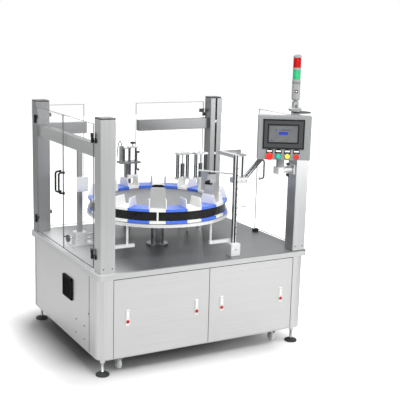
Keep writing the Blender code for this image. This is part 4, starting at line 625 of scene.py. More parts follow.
# Front panels with push-button slam locks
panels = {"front": -0.655, "thick": 0.02, "low": 0.1243, "high": 0.646, "edge": 0.0015}
lock = {"inset": 0.095, "z": 0.385, "wide": 0.027, "tall": 0.106, "proud": 0.006, "drop": 0.026, "button": 0.012}
panelEnds = {"left": (-0.682, 0.0095), "right": (0.0125, 0.682)}
flatToFront = Matrix.Rotation(pi / 2, 4, "X")
for side, (start, end) in panelEnds.items():
    piece = bmesh.new()
    addBlock(piece, (start, panels["front"], panels["low"]), (end, panels["front"] + panels["thick"], panels["high"]), "sheetAcross", panels["edge"])
    # A dark strip along the top fold: painted shade of the fold and the gap above it
    addBlock(piece, (start + 0.001, panels["front"] - 0.0004, panels["high"] - 0.0035), (end - 0.001, panels["front"] + 0.002, panels["high"] + 0.0002), "dullBlack")
    for letter, x in (("a", start + lock["inset"]), ("b", end - lock["inset"])):
        face = panels["front"] - lock["proud"]
        place = Matrix.Translation((x, panels["front"] + 0.0006, lock["z"])) @ flatToFront
        outline = roundedRectangle(lock["wide"] / 2, lock["tall"] / 2, 0.006)
        addHoledPlate(piece, outline, (0, -lock["drop"]), lock["button"] + 0.0003, lock["proud"] + 0.0006, "whiteAcetal", "whiteAcetal", place, 0.0015)
        # The paddle above the button, with a black block behind it: painted shade of the gap round it
        addBlock(piece, (x - 0.0115, face - 0.0002, lock["z"] - 0.006), (x + 0.0115, face + 0.001, lock["z"] + 0.045), "blackNylon", 0.0)
        addBlock(piece, (x - 0.0105, face - 0.0016, lock["z"] - 0.005), (x + 0.0105, face + 0.001, lock["z"] + 0.044), "whiteAcetal", 0.001)
        button = bmesh.new()
        addRod(button, (x, face - 0.004, lock["z"] - lock["drop"]), (x, face + 0.0017, lock["z"] - lock["drop"]), lock["button"] - 0.0003, "redLock", 0.0015, 32)
        finishPiece("lockButton" + side.title() + letter.upper(), button, "lock_button_" + side + "_" + letter, ["lock_button_" + side + "_" + letter])
    finishPiece("frontPanel" + side.title(), piece, "front_panel_" + side, ["front_panel_" + side])

# Seams: dark strips of painted shade in the gap under the deck, in the joints beside the panels and round the left skin
seam = {"proud": 0.0004, "low": 0.124, "high": 0.646, "top": 0.6497, "wide": 0.006, "drop": 0.0035, "front": (-0.6836, 0.011, 0.6836), "side": (-0.49, 0.578)}
piece = bmesh.new()
faceY, faceX = -0.655 - seam["proud"], -0.783 - seam["proud"]
addBlock(piece, (-0.76, faceY, seam["high"] + 0.0006), (0.76, faceY + 0.002, seam["top"]), "dullBlack")
addBlock(piece, (faceX, -0.63, seam["high"] - seam["drop"]), (faceX + 0.002, 0.63, seam["top"]), "dullBlack")
for x in seam["front"]:
    half = 0.001 if x == 0.011 else 0.0015
    addBlock(piece, (x - half, faceY, seam["low"]), (x + half, faceY + 0.002, seam["high"]), "dullBlack")
for y in seam["side"]:
    addBlock(piece, (faceX, y - seam["wide"] / 2, seam["low"]), (faceX + 0.002, y + seam["wide"] / 2, seam["high"]), "dullBlack")
finishPiece("seamShadeStrips", piece, "base", ())

# Levelling feet
foot = {"x": 0.735, "y": 0.6, "pad": 0.045, "stem": 0.01, "nut": 0.018, "top": 0.1177}
for signX, sideName in ((-1, "left"), (1, "right")):
    for signY, rowName in ((-1, "front"), (1, "rear")):
        piece = bmesh.new()
        place = Matrix.Translation((signX * foot["x"], signY * foot["y"], 0.0))
        pad = [(0, 0), (foot["pad"] - 0.001, 0), (foot["pad"], 0.001), (foot["pad"], 0.009), (foot["pad"] - 0.002, 0.0115), (0.039, 0.0135), (0.0375, 0.0125), (0.034, 0.0152), (0.0325, 0.0142), (0.026, 0.018), (0.018, 0.024), (0.0, 0.025)]
        addTurned(piece, pad, "padRubber", place, 40)
        thread = [(0, 0.02)]
        for turn in range(22):
            height = 0.0245 + turn * 0.0028
            thread += [(foot["stem"] - 0.0012, height), (foot["stem"], height + 0.0014)]
        thread += [(foot["stem"] - 0.001, 0.09), (0, 0.09)]
        addTurned(piece, thread, "zincPlate", place, 24)
        nut = [(0, foot["top"] - 0.034), (foot["nut"] - 0.002, foot["top"] - 0.034), (foot["nut"], foot["top"] - 0.032), (foot["nut"], foot["top"] - 0.001), (foot["nut"] - 0.001, foot["top"]), (0, foot["top"])]
        addTurned(piece, nut, "paleAnodised", place, 6)
        finishPiece("foot" + rowName.title() + sideName.title(), piece, "base", ["foot_" + rowName + "_" + sideName])

# Caster wheels: a pale grey tread on a white hub
wheel = {"x": 0.6, "y": 0.56, "trail": 0.016, "z": 0.039, "radius": 0.035, "wide": 0.024, "bore": 0.0056}
for signX, sideName in ((-1, "left"), (1, "right")):
    for signY, rowName in ((-1, "front"), (1, "rear")):
        piece = bmesh.new()
        place = Matrix.Translation((signX * wheel["x"], signY * wheel["y"] + wheel["trail"], wheel["z"])) @ Matrix.Rotation(pi / 2, 4, "Y")
        half, radius = wheel["wide"] / 2, wheel["radius"]
        tread = [(0.024, -half), (radius - 0.004, -half), (radius - 0.001, -half + 0.002), (radius, -half + 0.005), (radius, half - 0.005), (radius - 0.001, half - 0.002), (radius - 0.004, half), (0.024, half)]
        addTurned(piece, tread, "treadRubber", place, 48)
        hub = [(wheel["bore"], -half), (0.01, -half), (0.011, -half + 0.004), (0.022, -half + 0.004), (0.0245, -half + 0.0005), (0.0245, half - 0.0005), (0.022, half - 0.004), (0.011, half - 0.004), (0.01, half), (wheel["bore"], half)]
        addTurned(piece, hub, "whiteAcetal", place, 48)
        finishPiece(rowName + "Wheel" + sideName.title(), piece, rowName + "_wheel_" + sideName, [rowName + "_wheel_" + sideName])

# Air filter on the left skin: a frame with sloped louvres over dark foam
filterLook = {"face": -0.7833, "y": -0.105, "z": 0.46, "wide": 0.17, "tall": 0.15, "proud": 0.012, "rim": 0.012, "louvres": 9}
piece = bmesh.new()
halfY, halfZ, rim = filterLook["wide"] / 2, filterLook["tall"] / 2, filterLook["rim"]
face, out = filterLook["face"], filterLook["face"] - filterLook["proud"]
for low, high in (
    ((out + 0.001, -halfY, halfZ - rim), (face, halfY, halfZ)), ((out + 0.001, -halfY, -halfZ), (face, halfY, -halfZ + rim)),
    ((out + 0.001, -halfY, -halfZ), (face, -halfY + rim, halfZ)), ((out + 0.001, halfY - rim, -halfZ), (face, halfY, halfZ)),
):
    addBlock(piece, low, high, "dullBlack", 0.0015, Matrix.Translation((0, filterLook["y"], filterLook["z"])))
addBlock(piece, (face - 0.003, -halfY + 0.002, -halfZ + 0.002), (face, halfY - 0.002, halfZ - 0.002), "dullBlack", 0.0, Matrix.Translation((0, filterLook["y"], filterLook["z"])))
pitch = (filterLook["tall"] - 2 * rim) / filterLook["louvres"]
for count in range(filterLook["louvres"]):
    height = filterLook["z"] - filterLook["tall"] / 2 + rim + pitch * (count + 0.5)
    place = Matrix.Translation((face - 0.0065, filterLook["y"], height)) @ Matrix.Rotation(radians(-38), 4, "Y")
    addBlock(piece, (-0.0062, -halfY + rim * 0.8, -0.0009), (0.0062, halfY - rim * 0.8, 0.0009), "dullBlack", 0.0004, place)
finishPiece("sideFilter", piece, "base", ["side_filter"])

# Screws that hold the left skin
piece = bmesh.new()
for y, z in ((-0.256, 0.277), (-0.404, 0.276), (-0.255, 0.185), (-0.403, 0.186), (-0.479, 0.383), (0.594, 0.383)):
    addScrew(piece, (-0.783, y, z), (-1, 0, 0), 0.0045, "dullBlack")
finishPiece("skinScrews", piece, "base", ())
print("deck, panels, feet and wheels built")

# Turntable: upper and lower rings of white and blue plates, the upright plates and the hub cap
table = {"outer": 0.49, "inner": 0.36, "first": -116.4, "white": 12.6, "thick": 0.018, "upper": 1.031, "lower": 0.952, "gap": 0.05}
upright = {"foot": 0.123, "head": 0.09, "tall": 0.061, "wall": 0.006}
sleeve = {"pockets": (0, 2, 4), "near": 0.385, "far": 0.452, "tall": 0.139, "wall": 0.002, "gap": 0.0012, "round": 0.01}


def pocketTurn(count):
    return table["first"] + 30.0 * count


def addSegment(piece, start, end, height, finish):
    gap = table["gap"]
    outline = arcPoints(table["inner"], table["outer"], start + gap, end - gap, 10)
    addPrism(piece, outline, table["thick"], finish, Matrix.Translation(axis + Vector((0, 0, height))), 0.0012)


def addSleeve(piece, turn):
    # An open steel box for one carton, its sides parallel to the pocket's side plates
    place = Matrix.Translation(axis + Vector((0, 0, table["upper"] + table["thick"]))) @ turnZ(turn)
    flare = tan(radians(table["white"] / 2))
    near, far, wall, tall = sleeve["near"], sleeve["far"], sleeve["wall"], sleeve["tall"]
    # The back wall stands a little above the front one and has a thin black sheet on its inside: painted shade of the
    # open sleeve's dark inside
    back, shadeSheet = (tall + 0.007, sleeve["round"] * 1.8), 0.0006
    for reach, (head, bend), thick, finish in (
        (near, back, wall, "brushedPlate"), (near + wall - 0.0001, back, shadeSheet, "blackNylon"),
        (far - wall, (tall, sleeve["round"]), wall, "brushedPlate"),
    ):
        half = reach * flare - sleeve["gap"]
        outline = [(-half, 0), (half, 0)]
        for side, first in ((1, 0.0), (-1, pi / 2)):
            for step in range(6):
                turned = first + pi / 2 * step / 5
                outline.append((side * (half - bend) + bend * cos(turned), head - bend + bend * sin(turned)))
        standing = Matrix(((0, 0, 1, reach), (1, 0, 0, 0), (0, 1, 0, 0), (0, 0, 0, 1)))
        addPrism(piece, outline, thick, finish, place @ standing, 0.0005 if thick == wall else 0.0)
    for side in (-1, 1):
        ends = [(reach, side * (reach * flare - sleeve["gap"])) for reach in (near + 0.001, far - 0.001)]
        outline = ends + [(x, y - side * wall) for x, y in reversed(ends)]
        addPrism(piece, outline, tall - sleeve["round"] * 1.5, "brushedPlate", place, 0.0004)


def addSidePlate(piece, turn, side):
    far = table["outer"] - 0.006
    near = far - upright["foot"]
    inset = (upright["foot"] - upright["head"]) / 2
    outline = [(near, 0), (far, 0), (far - inset, upright["tall"]), (near + inset, upright["tall"])]
    shift = Matrix.Translation((0, 0 if side < 0 else upright["wall"], 0))
    place = Matrix.Translation(axis + Vector((0, 0, table["upper"] + table["thick"]))) @ turnZ(turn + side * table["white"] / 2)
    addPrism(piece, outline, upright["wall"], "whiteAcetal", place @ shift @ Matrix.Rotation(pi / 2, 4, "X"), 0.0008)


for sector in range(3):
    piece = bmesh.new()
    for count in range(sector * 4, sector * 4 + 4):
        turn = pocketTurn(count)
        half = table["white"] / 2
        addSegment(piece, turn - half, turn + half, table["upper"], "whiteAcetal")
        first, last = count % 4 == 0, count % 4 == 3
        addSegment(piece, turn - 15.0 - (0.0 if first else table["gap"]), turn - half, table["upper"], "blueAcetal")
        addSegment(piece, turn + half, turn + 15.0 + (0.0 if last else table["gap"]), table["upper"], "blueAcetal")
        if count in sleeve["pockets"]:
            addSleeve(piece, turn)
        for side in (-1, 1):
            addSidePlate(piece, turn, side)
        # Countersunk screws in the white plate
        for reach in (0.472, 0.378):
            spot = axis + Vector((reach * cos(radians(turn)), reach * sin(radians(turn)), table["upper"] + table["thick"] - 0.0006))
            addScrew(piece, spot, (0, 0, 1), 0.004, "zincPlate", 0.0018)
    name = "pocket_sector_" + str(sector + 1)
    finishPiece("pocketSector" + str(sector + 1), piece, "turntable", [name])

piece = bmesh.new()
for count in range(12):
    turn = pocketTurn(count)
    half = table["white"] / 2
    addSegment(piece, turn - half, turn + half, table["lower"], "whiteAcetal")
    addSegment(piece, turn + half, turn + 30.0 - half, table["lower"], "blueAcetal")
marker = 0.476 + 0.0003 + 0.006
turn = radians(pocketTurn(0))
post = axis + Vector((marker * cos(turn), marker * sin(turn), 0))
addRod(piece, post + Vector((0, 0, 0.969)), post + Vector((0, 0, 1.0307)), 0.006, "whiteAcetal", 0.0005, 32)
finishPiece("lowerPlateRing", piece, "turntable", ["lower_plate_ring"])

piece = bmesh.new()
capLow = table["upper"]
cap = [(0, capLow), (0.042, capLow), (0.042, capLow + 0.024), (0.041, capLow + 0.0275), (0.0385, capLow + 0.0295), (0.036, capLow + 0.03), (0.02, capLow + 0.03), (0.0195, capLow + 0.028), (0, capLow + 0.028)]
addTurned(piece, cap, "blackNylon", Matrix.Translation(axis), 56)
addScrew(piece, axis + Vector((0, 0, capLow + 0.0278)), (0, 0, 1), 0.008, "zincPlate", 0.002)
finishPiece("hubCap", piece, "turntable", ["hub_cap"])

# Screws round the table top's hub
piece = bmesh.new()
for count in range(6):
    turn = radians(60 * count + 20)
    addScrew(piece, axis + Vector((0.1 * cos(turn), 0.1 * sin(turn), table["upper"] - 0.0004)), (0, 0, 1), 0.006)
finishPiece("tableScrews", piece, "turntable", ())
print("turntable built")

# Left station: foot plate, clamp block, square column, sensor plate, and two guide rods to a carrier block
left = {"x": -0.62, "y": 0.1, "low": 0.6903, "plate": 0.01, "block": 0.085, "column": 0.032, "top": 1.41}
piece = bmesh.new()
x, y, low = left["x"], left["y"], left["low"]
addBlock(piece, (x - 0.0714, y - 0.05, low), (x + 0.0986, y + 0.05, low + left["plate"]), "paleAnodised", 0.0012)
half = left["block"] / 2
blockLow, blockTop = low + left["plate"], low + left["plate"] + left["block"]
addBlock(piece, (x - half, y - half, blockLow - 0.0005), (x + half, y + half, blockTop), "paleAnodised", 0.003, steps=3)
addBlock(piece, (x - 0.016, y - 0.016, blockTop - 0.001), (x + 0.016, y + 0.016, left["top"]), "rearSteelShaded", 0.0015)
addBlock(piece, (x - 0.0275, y - 0.0225, 1.0725), (x + 0.0575, y - 0.015, 1.1775), "paleAnodised", 0.001)
for shift, height in ((0.005, 1.085), (0.048, 1.085), (0.005, 1.165), (0.048, 1.165)):
    addScrew(piece, (x + shift - 0.012, y - 0.0224, height), (0, -1, 0), 0.0035)
for shift in (-0.028, 0.028):
    for height in (0.03, 0.06):
        addScrew(piece, (x + shift, y - half + 0.0002, blockLow + height), (0, -1, 0), 0.0045)
crankZ = blockLow + left["block"] / 2
for side in (-1, 1):
    addRod(piece, (x + half - 0.001, y, crankZ + side * 0.015), (x + half + 0.16, y, crankZ + side * 0.015), 0.007, "chromedRod", 0.0005, 24)
addBlock(piece, (x + half + 0.159, y - 0.025, low), (x + half + 0.209, y + 0.025, crankZ + 0.03), "paleAnodised", 0.002)
finishPiece("leftStation", piece, "base", ["left_station"])

piece = bmesh.new()
shaftEnd = x - half - seat
addRod(piece, (shaftEnd - 0.037, y, crankZ), (shaftEnd, y, crankZ), 0.006, "chromedRod", 0.0004, 24)
rim = [(0, 0), (0.018, 0), (0.02, 0.002), (0.0225, 0.002), (0.024, 0), (0.0262, 0.0015), (0.027, 0.004), (0.027, 0.012), (0.0258, 0.015), (0.0235, 0.016), (0.012, 0.016), (0.011, 0.0158), (0, 0.0158)]
addTurned(piece, rim, "blackNylon", Matrix.Translation((shaftEnd - 0.052, y, crankZ)) @ Matrix.Rotation(pi / 2, 4, "Y"), 48)
grip = Vector((shaftEnd - 0.051, y, crankZ + 0.0167))
addRod(piece, grip, grip - Vector((0.022, 0, 0)), 0.005, "blackNylon", 0.0015, 20)
finishPiece("crankWheel", piece, "crank_wheel", ["crank_wheel"])

# Press unit: the frame keeps its CAD shape, and its slide runs on two dark rods
press = {"x": -0.09, "y": 0.47, "rodY": 0.423, "low": 1.075, "rodTop": 1.31}
piece = bmesh.new()
middleX, rodY = press["x"] + 0.02, press["rodY"]
for side in (-1, 1):
    addRod(piece, (middleX + side * 0.025, rodY, press["low"] + 0.029), (middleX + side * 0.025, rodY, press["rodTop"]), 0.008, "shadedRod", 0.0005, 28)
addBlock(piece, (middleX - 0.04, rodY - 0.016, press["low"]), (middleX + 0.04, rodY + 0.016, press["low"] + 0.03), "whiteAcetal", 0.0015)
addBlock(piece, (middleX - 0.04, rodY - 0.014, press["rodTop"] - 0.001), (middleX + 0.04, rodY + 0.014, press["rodTop"] + 0.011), "milledAluminium", 0.0012)
addRod(piece, (middleX, rodY, press["rodTop"] + 0.01), (middleX, rodY, press["rodTop"] + 0.031), 0.005, "zincPlate", 0.0005, 20)
knobLow = press["rodTop"] + 0.03
knob = [(0, knobLow), (0.017, knobLow), (0.0195, knobLow + 0.0025), (0.02, knobLow + 0.0045), (0.0192, knobLow + 0.0105), (0.0165, knobLow + 0.0138), (0, knobLow + 0.0138)]
addTurned(piece, knob, "blackNylon", Matrix.Translation((middleX, rodY, 0)), 40)
finishPiece("pressSlide", piece, "press_slide", ["press_slide"])

# Two more guide rods stand on the frame's plate under a small strap
piece = bmesh.new()
for x in (-0.116, -0.074):
    addRod(piece, (x, 0.478, 1.2041), (x, 0.478, 1.297), 0.0075, "shadedRod", 0.0004, 24)
addBlock(piece, (-0.127, 0.466, 1.296), (-0.063, 0.49, 1.307), "paleAnodised", 0.0012)
for x in (-0.116, -0.074):
    addScrew(piece, (x, 0.478, 1.3068), (0, 0, 1), 0.005)
finishPiece("pressGuides", piece, "base", ())

hose = {"radius": 0.003, "reach": 0.06, "rise": 0.05, "drop": 0.09, "x": -0.141, "top": 1.3183}
piece = bmesh.new()
path = []
for step in range(49):
    share = step / 48
    path.append((hose["x"] - 0.01 * share, press["y"] + hose["reach"] * (1 - cos(pi * share)) / 2, hose["top"] + hose["rise"] * sin(pi * share) - hose["drop"] * share * share))
addTube(piece, path, hose["radius"], "hosePolyurethane", 16)
finishPiece("airHose", piece, "base", ["air_hose"])

# Twin units: square column, two rounded plates on four rods, a small cylinder and a white knob
twins = {"column": 0.036, "wide": 0.11, "deep": 0.05, "thick": 0.014, "low": 1.07, "top": 1.26}
piece = bmesh.new()
for x, y in ((0.285, 0.285), (0.425, 0.255)):
    half = twins["column"] / 2
    addBlock(piece, (x - half, y - half, 0.6903), (x + half, y + half, twins["low"] + 0.001), "milledAluminium", 0.0015)
    for base in (twins["low"], twins["top"]):
        plate = [(x + px, y + py) for px, py in roundedRectangle(twins["wide"] / 2, twins["deep"] / 2, 0.006)]
        addPrism(piece, plate, twins["thick"], "milledAluminium", Matrix.Translation((0, 0, base)), 0.001)
    for signX in (-1, 1):
        for signY in (-1, 1):
            rodX, rodY = x + signX * 0.042, y + signY * 0.014
            addRod(piece, (rodX, rodY, twins["low"] + 0.013), (rodX, rodY, twins["top"] + 0.001), 0.006, "shadedRod", 0.0004, 24)
            addScrew(piece, (rodX, rodY, twins["top"] + twins["thick"] - 0.0003), (0, 0, 1), 0.0045)
    addRod(piece, (x, y, twins["low"] + 0.013), (x, y, 1.1902), 0.016, "turnedSteel", 0.0015, 32)
    addRod(piece, (x, y, 1.189), (x, y, twins["top"] + 0.001), 0.005, "chromedRod", 0.0004, 20)
    knobLow = twins["top"] + twins["thick"] - 0.001
    knob = [(0, knobLow), (0.013, knobLow), (0.013, knobLow + 0.0145), (0.0122, knobLow + 0.017), (0.0105, knobLow + 0.018), (0, knobLow + 0.018)]
    addTurned(piece, knob, "whiteAcetal", Matrix.Translation((x, y, 0)), 36)
addBlock(piece, (0.339, 0.264, 1.261), (0.371, 0.276, 1.273), "milledAluminium", 0.0005)
finishPiece("twinUnits", piece, "base", ["twin_units"])

# Infeed stand: clamp block, slotted column, top arm to the head, guide rods, clamp and slanted rails
infeed = {"x": 0.235, "y": -0.575, "low": 0.6903, "block": 0.072, "tall": 0.085, "half": 0.013, "top": 1.385}
head = {"x": 0.385, "y": -0.36, "wide": 0.105, "deep": 0.05, "z": 1.335, "thick": 0.018, "clamp": 1.15, "clampTall": 0.04}
piece = bmesh.new()
x, y, low = infeed["x"], infeed["y"], infeed["low"]
half, blockTop = infeed["block"] / 2, infeed["low"] + infeed["tall"]
addBlock(piece, (x - half, y - half, low), (x + half, y + half, blockTop), "paleAnodised", 0.003, steps=3)
addScrew(piece, (x, y - half + 0.0002, low + 0.045), (0, -1, 0), 0.007)
half = infeed["half"]
addBlock(piece, (x - half, y - half, blockTop - 0.001), (x + half, y + half, infeed["top"]), "milledAluminium", 0.0012)
# Flat dark strips down the column's front and left faces: painted shade of a T-slot
addBlock(piece, (x - 0.006, y - half - 0.0001, blockTop + 0.004), (x + 0.006, y - half + 0.002, infeed["top"] - 0.004), "dullBlack")
addBlock(piece, (x - half - 0.0001, y - 0.006, blockTop + 0.004), (x - half + 0.002, y + 0.006, infeed["top"] - 0.004), "dullBlack")
armLow = infeed["top"] - 0.026
addBlock(piece, (x - half, y + half - 0.001, armLow), (x + half, head["y"] + half, infeed["top"] - 0.001), "milledAluminium", 0.001)
addBlock(piece, (x + half - 0.001, head["y"] - half, armLow + 0.001), (head["x"] + half - 0.001, head["y"] + half - 0.001, infeed["top"] - 0.002), "milledAluminium", 0.001)
addBlock(piece, (head["x"] - head["wide"] / 2, head["y"] - head["deep"] / 2, head["z"]), (head["x"] + head["wide"] / 2, head["y"] + head["deep"] / 2, head["z"] + head["thick"]), "milledAluminium", 0.0015)
addBlock(piece, (head["x"] - 0.012, head["y"] - 0.012, head["z"] + head["thick"] - 0.001), (head["x"] + 0.011, head["y"] + 0.011, armLow + 0.002), "milledAluminium")
clampTop = head["clamp"] + head["clampTall"]
for side in (-1, 1):
    addRod(piece, (head["x"] + side * 0.035, head["y"], clampTop - 0.001), (head["x"] + side * 0.035, head["y"], head["z"] + 0.001), 0.007, "shadedRod", 0.0004, 28)
    addScrew(piece, (head["x"] + side * 0.035, head["y"], head["z"] + head["thick"] - 0.0003), (0, 0, 1), 0.005)
    addRod(piece, (x + half - 0.001, y + side * 0.007, 1.02), (x + half + 0.085, y + side * 0.007, 1.02), 0.005, "chromedRod", 0.0008, 20)
halfWide = head["wide"] / 2
addBlock(piece, (head["x"] - halfWide, head["y"] - 0.055, head["clamp"]), (head["x"] + halfWide, head["y"] + 0.022, clampTop), "milledAluminium", 0.0018)
for shift in (-0.035, 0.0, 0.035):
    addScrew(piece, (head["x"] + shift, head["y"] - 0.0548, head["clamp"] + 0.02), (0, -1, 0), 0.0045)
slope = radians(45)
start = head["x"] + halfWide - 0.009 * sin(slope) - 0.001
for side in (-1, 1):
    railY = head["y"] + side * 0.017 - 0.008
    railStart = Vector((start, railY, head["clamp"] + head["clampTall"] * 0.55))
    addRod(piece, railStart, railStart + Vector((0.25 * cos(slope), 0, 0.25 * sin(slope))), 0.009, "shadedRod", 0.001, 32)
for count in range(11):
    addScrew(piece, (x + 0.0095, y - half + 0.0002, 0.84 + 0.045 * count), (0, -1, 0), 0.0035, "blackNylon")
    addScrew(piece, (x + half - 0.0002, y, 0.86 + 0.045 * count), (1, 0, 0), 0.005, "blackNylon")
finishPiece("infeedStand", piece, "base", ["infeed_stand"])

pick = {"x": 0.3465, "y": -0.4, "z": 1.212, "length": 0.3, "half": 0.01, "thick": 0.01, "turn": 126.0}
piece = bmesh.new()
foot = Vector((pick["x"], pick["y"], 1.1903))
addRod(piece, foot, foot + Vector((0, 0, pick["z"] - foot.z + 0.001)), 0.007, "chromedRod", 0.0004, 24)
place = Matrix.Translation((pick["x"], pick["y"], pick["z"])) @ turnZ(pick["turn"])
addBlock(piece, (-0.012, -pick["half"], 0), (pick["length"] - 0.012, pick["half"], pick["thick"]), "milledAluminium", 0.0012, place)
addScrew(piece, foot + Vector((0, 0, pick["z"] + pick["thick"] - 0.0003 - foot.z)), (0, 0, 1), 0.006)
finishPiece("pickArm", piece, "pick_arm", ["pick_arm"])
print("stations built")

# Operator panel: pieces in the panel's own frame, x to its right and y to its back
panel = {"x": 0.552, "y": -0.632, "turn": -29.2, "front": -0.067, "buttonZ": 1.377, "first": -0.082, "pitch": 0.0605}
panelPlace = Matrix.Translation((panel["x"], panel["y"], 0.0)) @ turnZ(panel["turn"])
screen = {"x": 0.009, "z": 1.526, "wide": 0.279, "tall": 0.2, "proud": 0.006, "filmWide": 0.192, "filmTall": 0.112}
piece = bmesh.new()
face = panel["front"] - seat
frontPlace = panelPlace @ Matrix.Translation((screen["x"], face, screen["z"])) @ flatToFront
left2, right2 = -screen["filmWide"] / 2 - 0.003, screen["filmWide"] / 2 - 0.003
low2, high2 = -screen["filmTall"] / 2 + 0.002, screen["filmTall"] / 2 + 0.002
halfX, halfY = screen["wide"] / 2, screen["tall"] / 2
for low, high in (
    ((-halfX, -halfY, 0), (halfX, low2, screen["proud"])), ((-halfX, high2, 0), (halfX, halfY, screen["proud"])),
    ((-halfX, low2, 0), (left2, high2, screen["proud"])), ((right2, low2, 0), (halfX, high2, screen["proud"])),
):
    addBlock(piece, low, high, "bezelPlastic", 0.0, frontPlace)
# A thin raised lip goes round the bezel, and a darker frame round the display
for low, high in (
    ((-halfX, -halfY, 0.0005), (halfX, -halfY + 0.01, screen["proud"] + 0.0012)), ((-halfX, halfY - 0.01, 0.0005), (halfX, halfY, screen["proud"] + 0.0012)),
    ((-halfX, -halfY, 0.0005), (-halfX + 0.01, halfY, screen["proud"] + 0.0012)), ((halfX - 0.01, -halfY, 0.0005), (halfX, halfY, screen["proud"] + 0.0012)),
):
    addBlock(piece, low, high, "blackNylon", 0.0008, frontPlace)
for low, high in (
    ((left2 - 0.01, low2 - 0.01, 0.001), (right2 + 0.01, low2, screen["proud"] + 0.0004)), ((left2 - 0.01, high2, 0.001), (right2 + 0.01, high2 + 0.01, screen["proud"] + 0.0004)),
    ((left2 - 0.01, low2, 0.001), (left2, high2, screen["proud"] + 0.0004)), ((right2, low2, 0.001), (right2 + 0.01, high2, screen["proud"] + 0.0004)),
):
    addBlock(piece, low, high, "blackNylon", 0.0003, frontPlace)
filmTop = screen["proud"] - 0.002
addBlock(piece, (left2 - 0.001, low2 - 0.001, 0.001), (right2 + 0.001, high2 + 0.001, filmTop), "displayFilm", 0.0, frontPlace)
# Blank blocks stand for the display's fields
for x0, y0, wide, tall, finish in (
    (-0.032, -0.004, 0.06, 0.02, "displayBlue"), (-0.058, 0.026, 0.014, 0.006, "displayBlue"), (-0.018, 0.026, 0.07, 0.006, "displayDark"),
    (0.074, 0.044, 0.012, 0.007, "displayDark"), (-0.088, -0.046, 0.014, 0.006, "displayBlue"),
):
    addBlock(piece, (x0, y0, filmTop - 0.0005), (x0 + wide, y0 + tall, filmTop + 0.0003), finish, 0.0, frontPlace)
finishPiece("operatorScreen", piece, "control_panel", ["operator_screen"])

# Bezel rings and label holders over the four controls
label = {"half": 0.0225, "low": 0.0175, "shoulder": 0.0385, "arch": 0.009, "card": 0.0165, "cardLow": 0.0285, "cardHigh": 0.0385}
piece = bmesh.new()
for index in range(4):
    x = panel["first"] + panel["pitch"] * index
    place = panelPlace @ Matrix.Translation((x, panel["front"], panel["buttonZ"])) @ flatToFront
    inner = 0.0168 if index else 0.0096
    ring = [(inner, 0.003), (inner, 0.0044), (inner + 0.0012, 0.005), (0.0195, 0.005), (0.0214, 0.0038), (0.0214, 0.0004), (0.0205, 0.0004), (0.0205, 0.003)]
    addTurned(piece, ring, "blackNylon", place, 48)
    # A black label frame with an arched head, and a blank white card in it
    outline = [(-label["half"], label["low"]), (label["half"], label["low"])]
    for step in range(9):
        turn = pi * step / 8
        outline.append((label["half"] * cos(turn), label["shoulder"] + label["arch"] * sin(turn)))
    addPrism(piece, outline, 0.0022, "blackNylon", place @ Matrix.Translation((0, 0, 0.0002)), 0.0005)
    addBlock(piece, (-label["card"], label["cardLow"], 0.0018), (label["card"], label["cardHigh"], 0.003), "labelCard", 0.0003, place)
finishPiece("panelRings", piece, "control_panel", ())

# Buttons: a red mushroom head and three flush caps
caps = {"stop_button": "redCap", "green_button": "greenCap", "yellow_button": "yellowCap", "red_button": "redCap"}
for index, (name, finish) in enumerate(caps.items()):
    piece = bmesh.new()
    place = panelPlace @ Matrix.Translation((panel["first"] + panel["pitch"] * index, panel["front"], panel["buttonZ"])) @ flatToFront
    if index == 0:
        addTurned(piece, [(0, -0.0016), (0.0088, -0.0016), (0.0088, 0.012), (0, 0.012)], "blackNylon", place, 32)
        dome = [(0, 0.0096), (0.0215, 0.0096), (0.0238, 0.0108), (0.025, 0.0138), (0.025, 0.0245), (0.0243, 0.0272), (0.0225, 0.0295), (0.018, 0.0305), (0.012, 0.0304), (0.0, 0.0297)]
        addTurned(piece, dome, finish, place, 56)
    else:
        dome = [(0, -0.0016), (0.0163, -0.0016), (0.0163, 0.0135), (0.0156, 0.0152), (0.0142, 0.0159), (0.011, 0.0156), (0, 0.0152)]
        addTurned(piece, dome, finish, place, 48)
    finishPiece(name.split("_")[0] + "Button", piece, name, [name])

# Clamp levers and screws on the panel arm
clampX = 0.632
piece = bmesh.new()
for side, height in ((1, 1.288), (-1, 1.248)):
    tip = Vector((clampX, -0.61, height + side * 0.012))
    addRod(piece, (clampX, -0.61, height - side * 0.002), tip, 0.006, "zincPlate", 0.0004, 20)
    addRod(piece, tip - Vector((0, 0, side * 0.001)), tip + Vector((0, 0, side * 0.013)), 0.0115, "blackNylon", 0.002, 32)
    addRod(piece, tip + Vector((0, 0, side * 0.007)), tip + Vector((-0.012, -0.03, side * 0.012)), 0.0055, "blackNylon", 0.002, 20)
for shift, height in ((-0.024, -0.024), (0.024, -0.024), (-0.024, 0.024), (0.024, 0.024)):
    addScrew(piece, (0.6608, -0.61 + shift, 1.268 + height), (-1, 0, 0), 0.0042)
finishPiece("armFittings", piece, "base", ())

# Signal tower lenses: a ribbed shell with a bore
tower = {"x": 0.695, "y": -0.575, "radius": 0.027, "core": 0.0083}
lenses = {"tower_green": "greenLens", "tower_red": "redLens"}
for name, finish in lenses.items():
    low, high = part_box(name)[0].z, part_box(name)[1].z
    piece = bmesh.new()
    profile = [(tower["core"], low), (tower["radius"] - 0.001, low)]
    ribs = 14
    for rib in range(ribs):
        height = low + 0.003 + (high - low - 0.006) * (rib + 0.25) / ribs
        lift = (high - low - 0.006) / ribs
        profile += [(tower["radius"] - 0.0006, height), (tower["radius"], height + lift * 0.25), (tower["radius"] - 0.0006, height + lift * 0.5)]
    profile += [(tower["radius"] - 0.001, high), (tower["core"], high)]
    addTurned(piece, profile, finish, Matrix.Translation((tower["x"], tower["y"], 0)), 56)
    finishPiece("tower" + name.split("_")[1].title(), piece, name if name in frame["bodies"] else "signal_tower", [name])

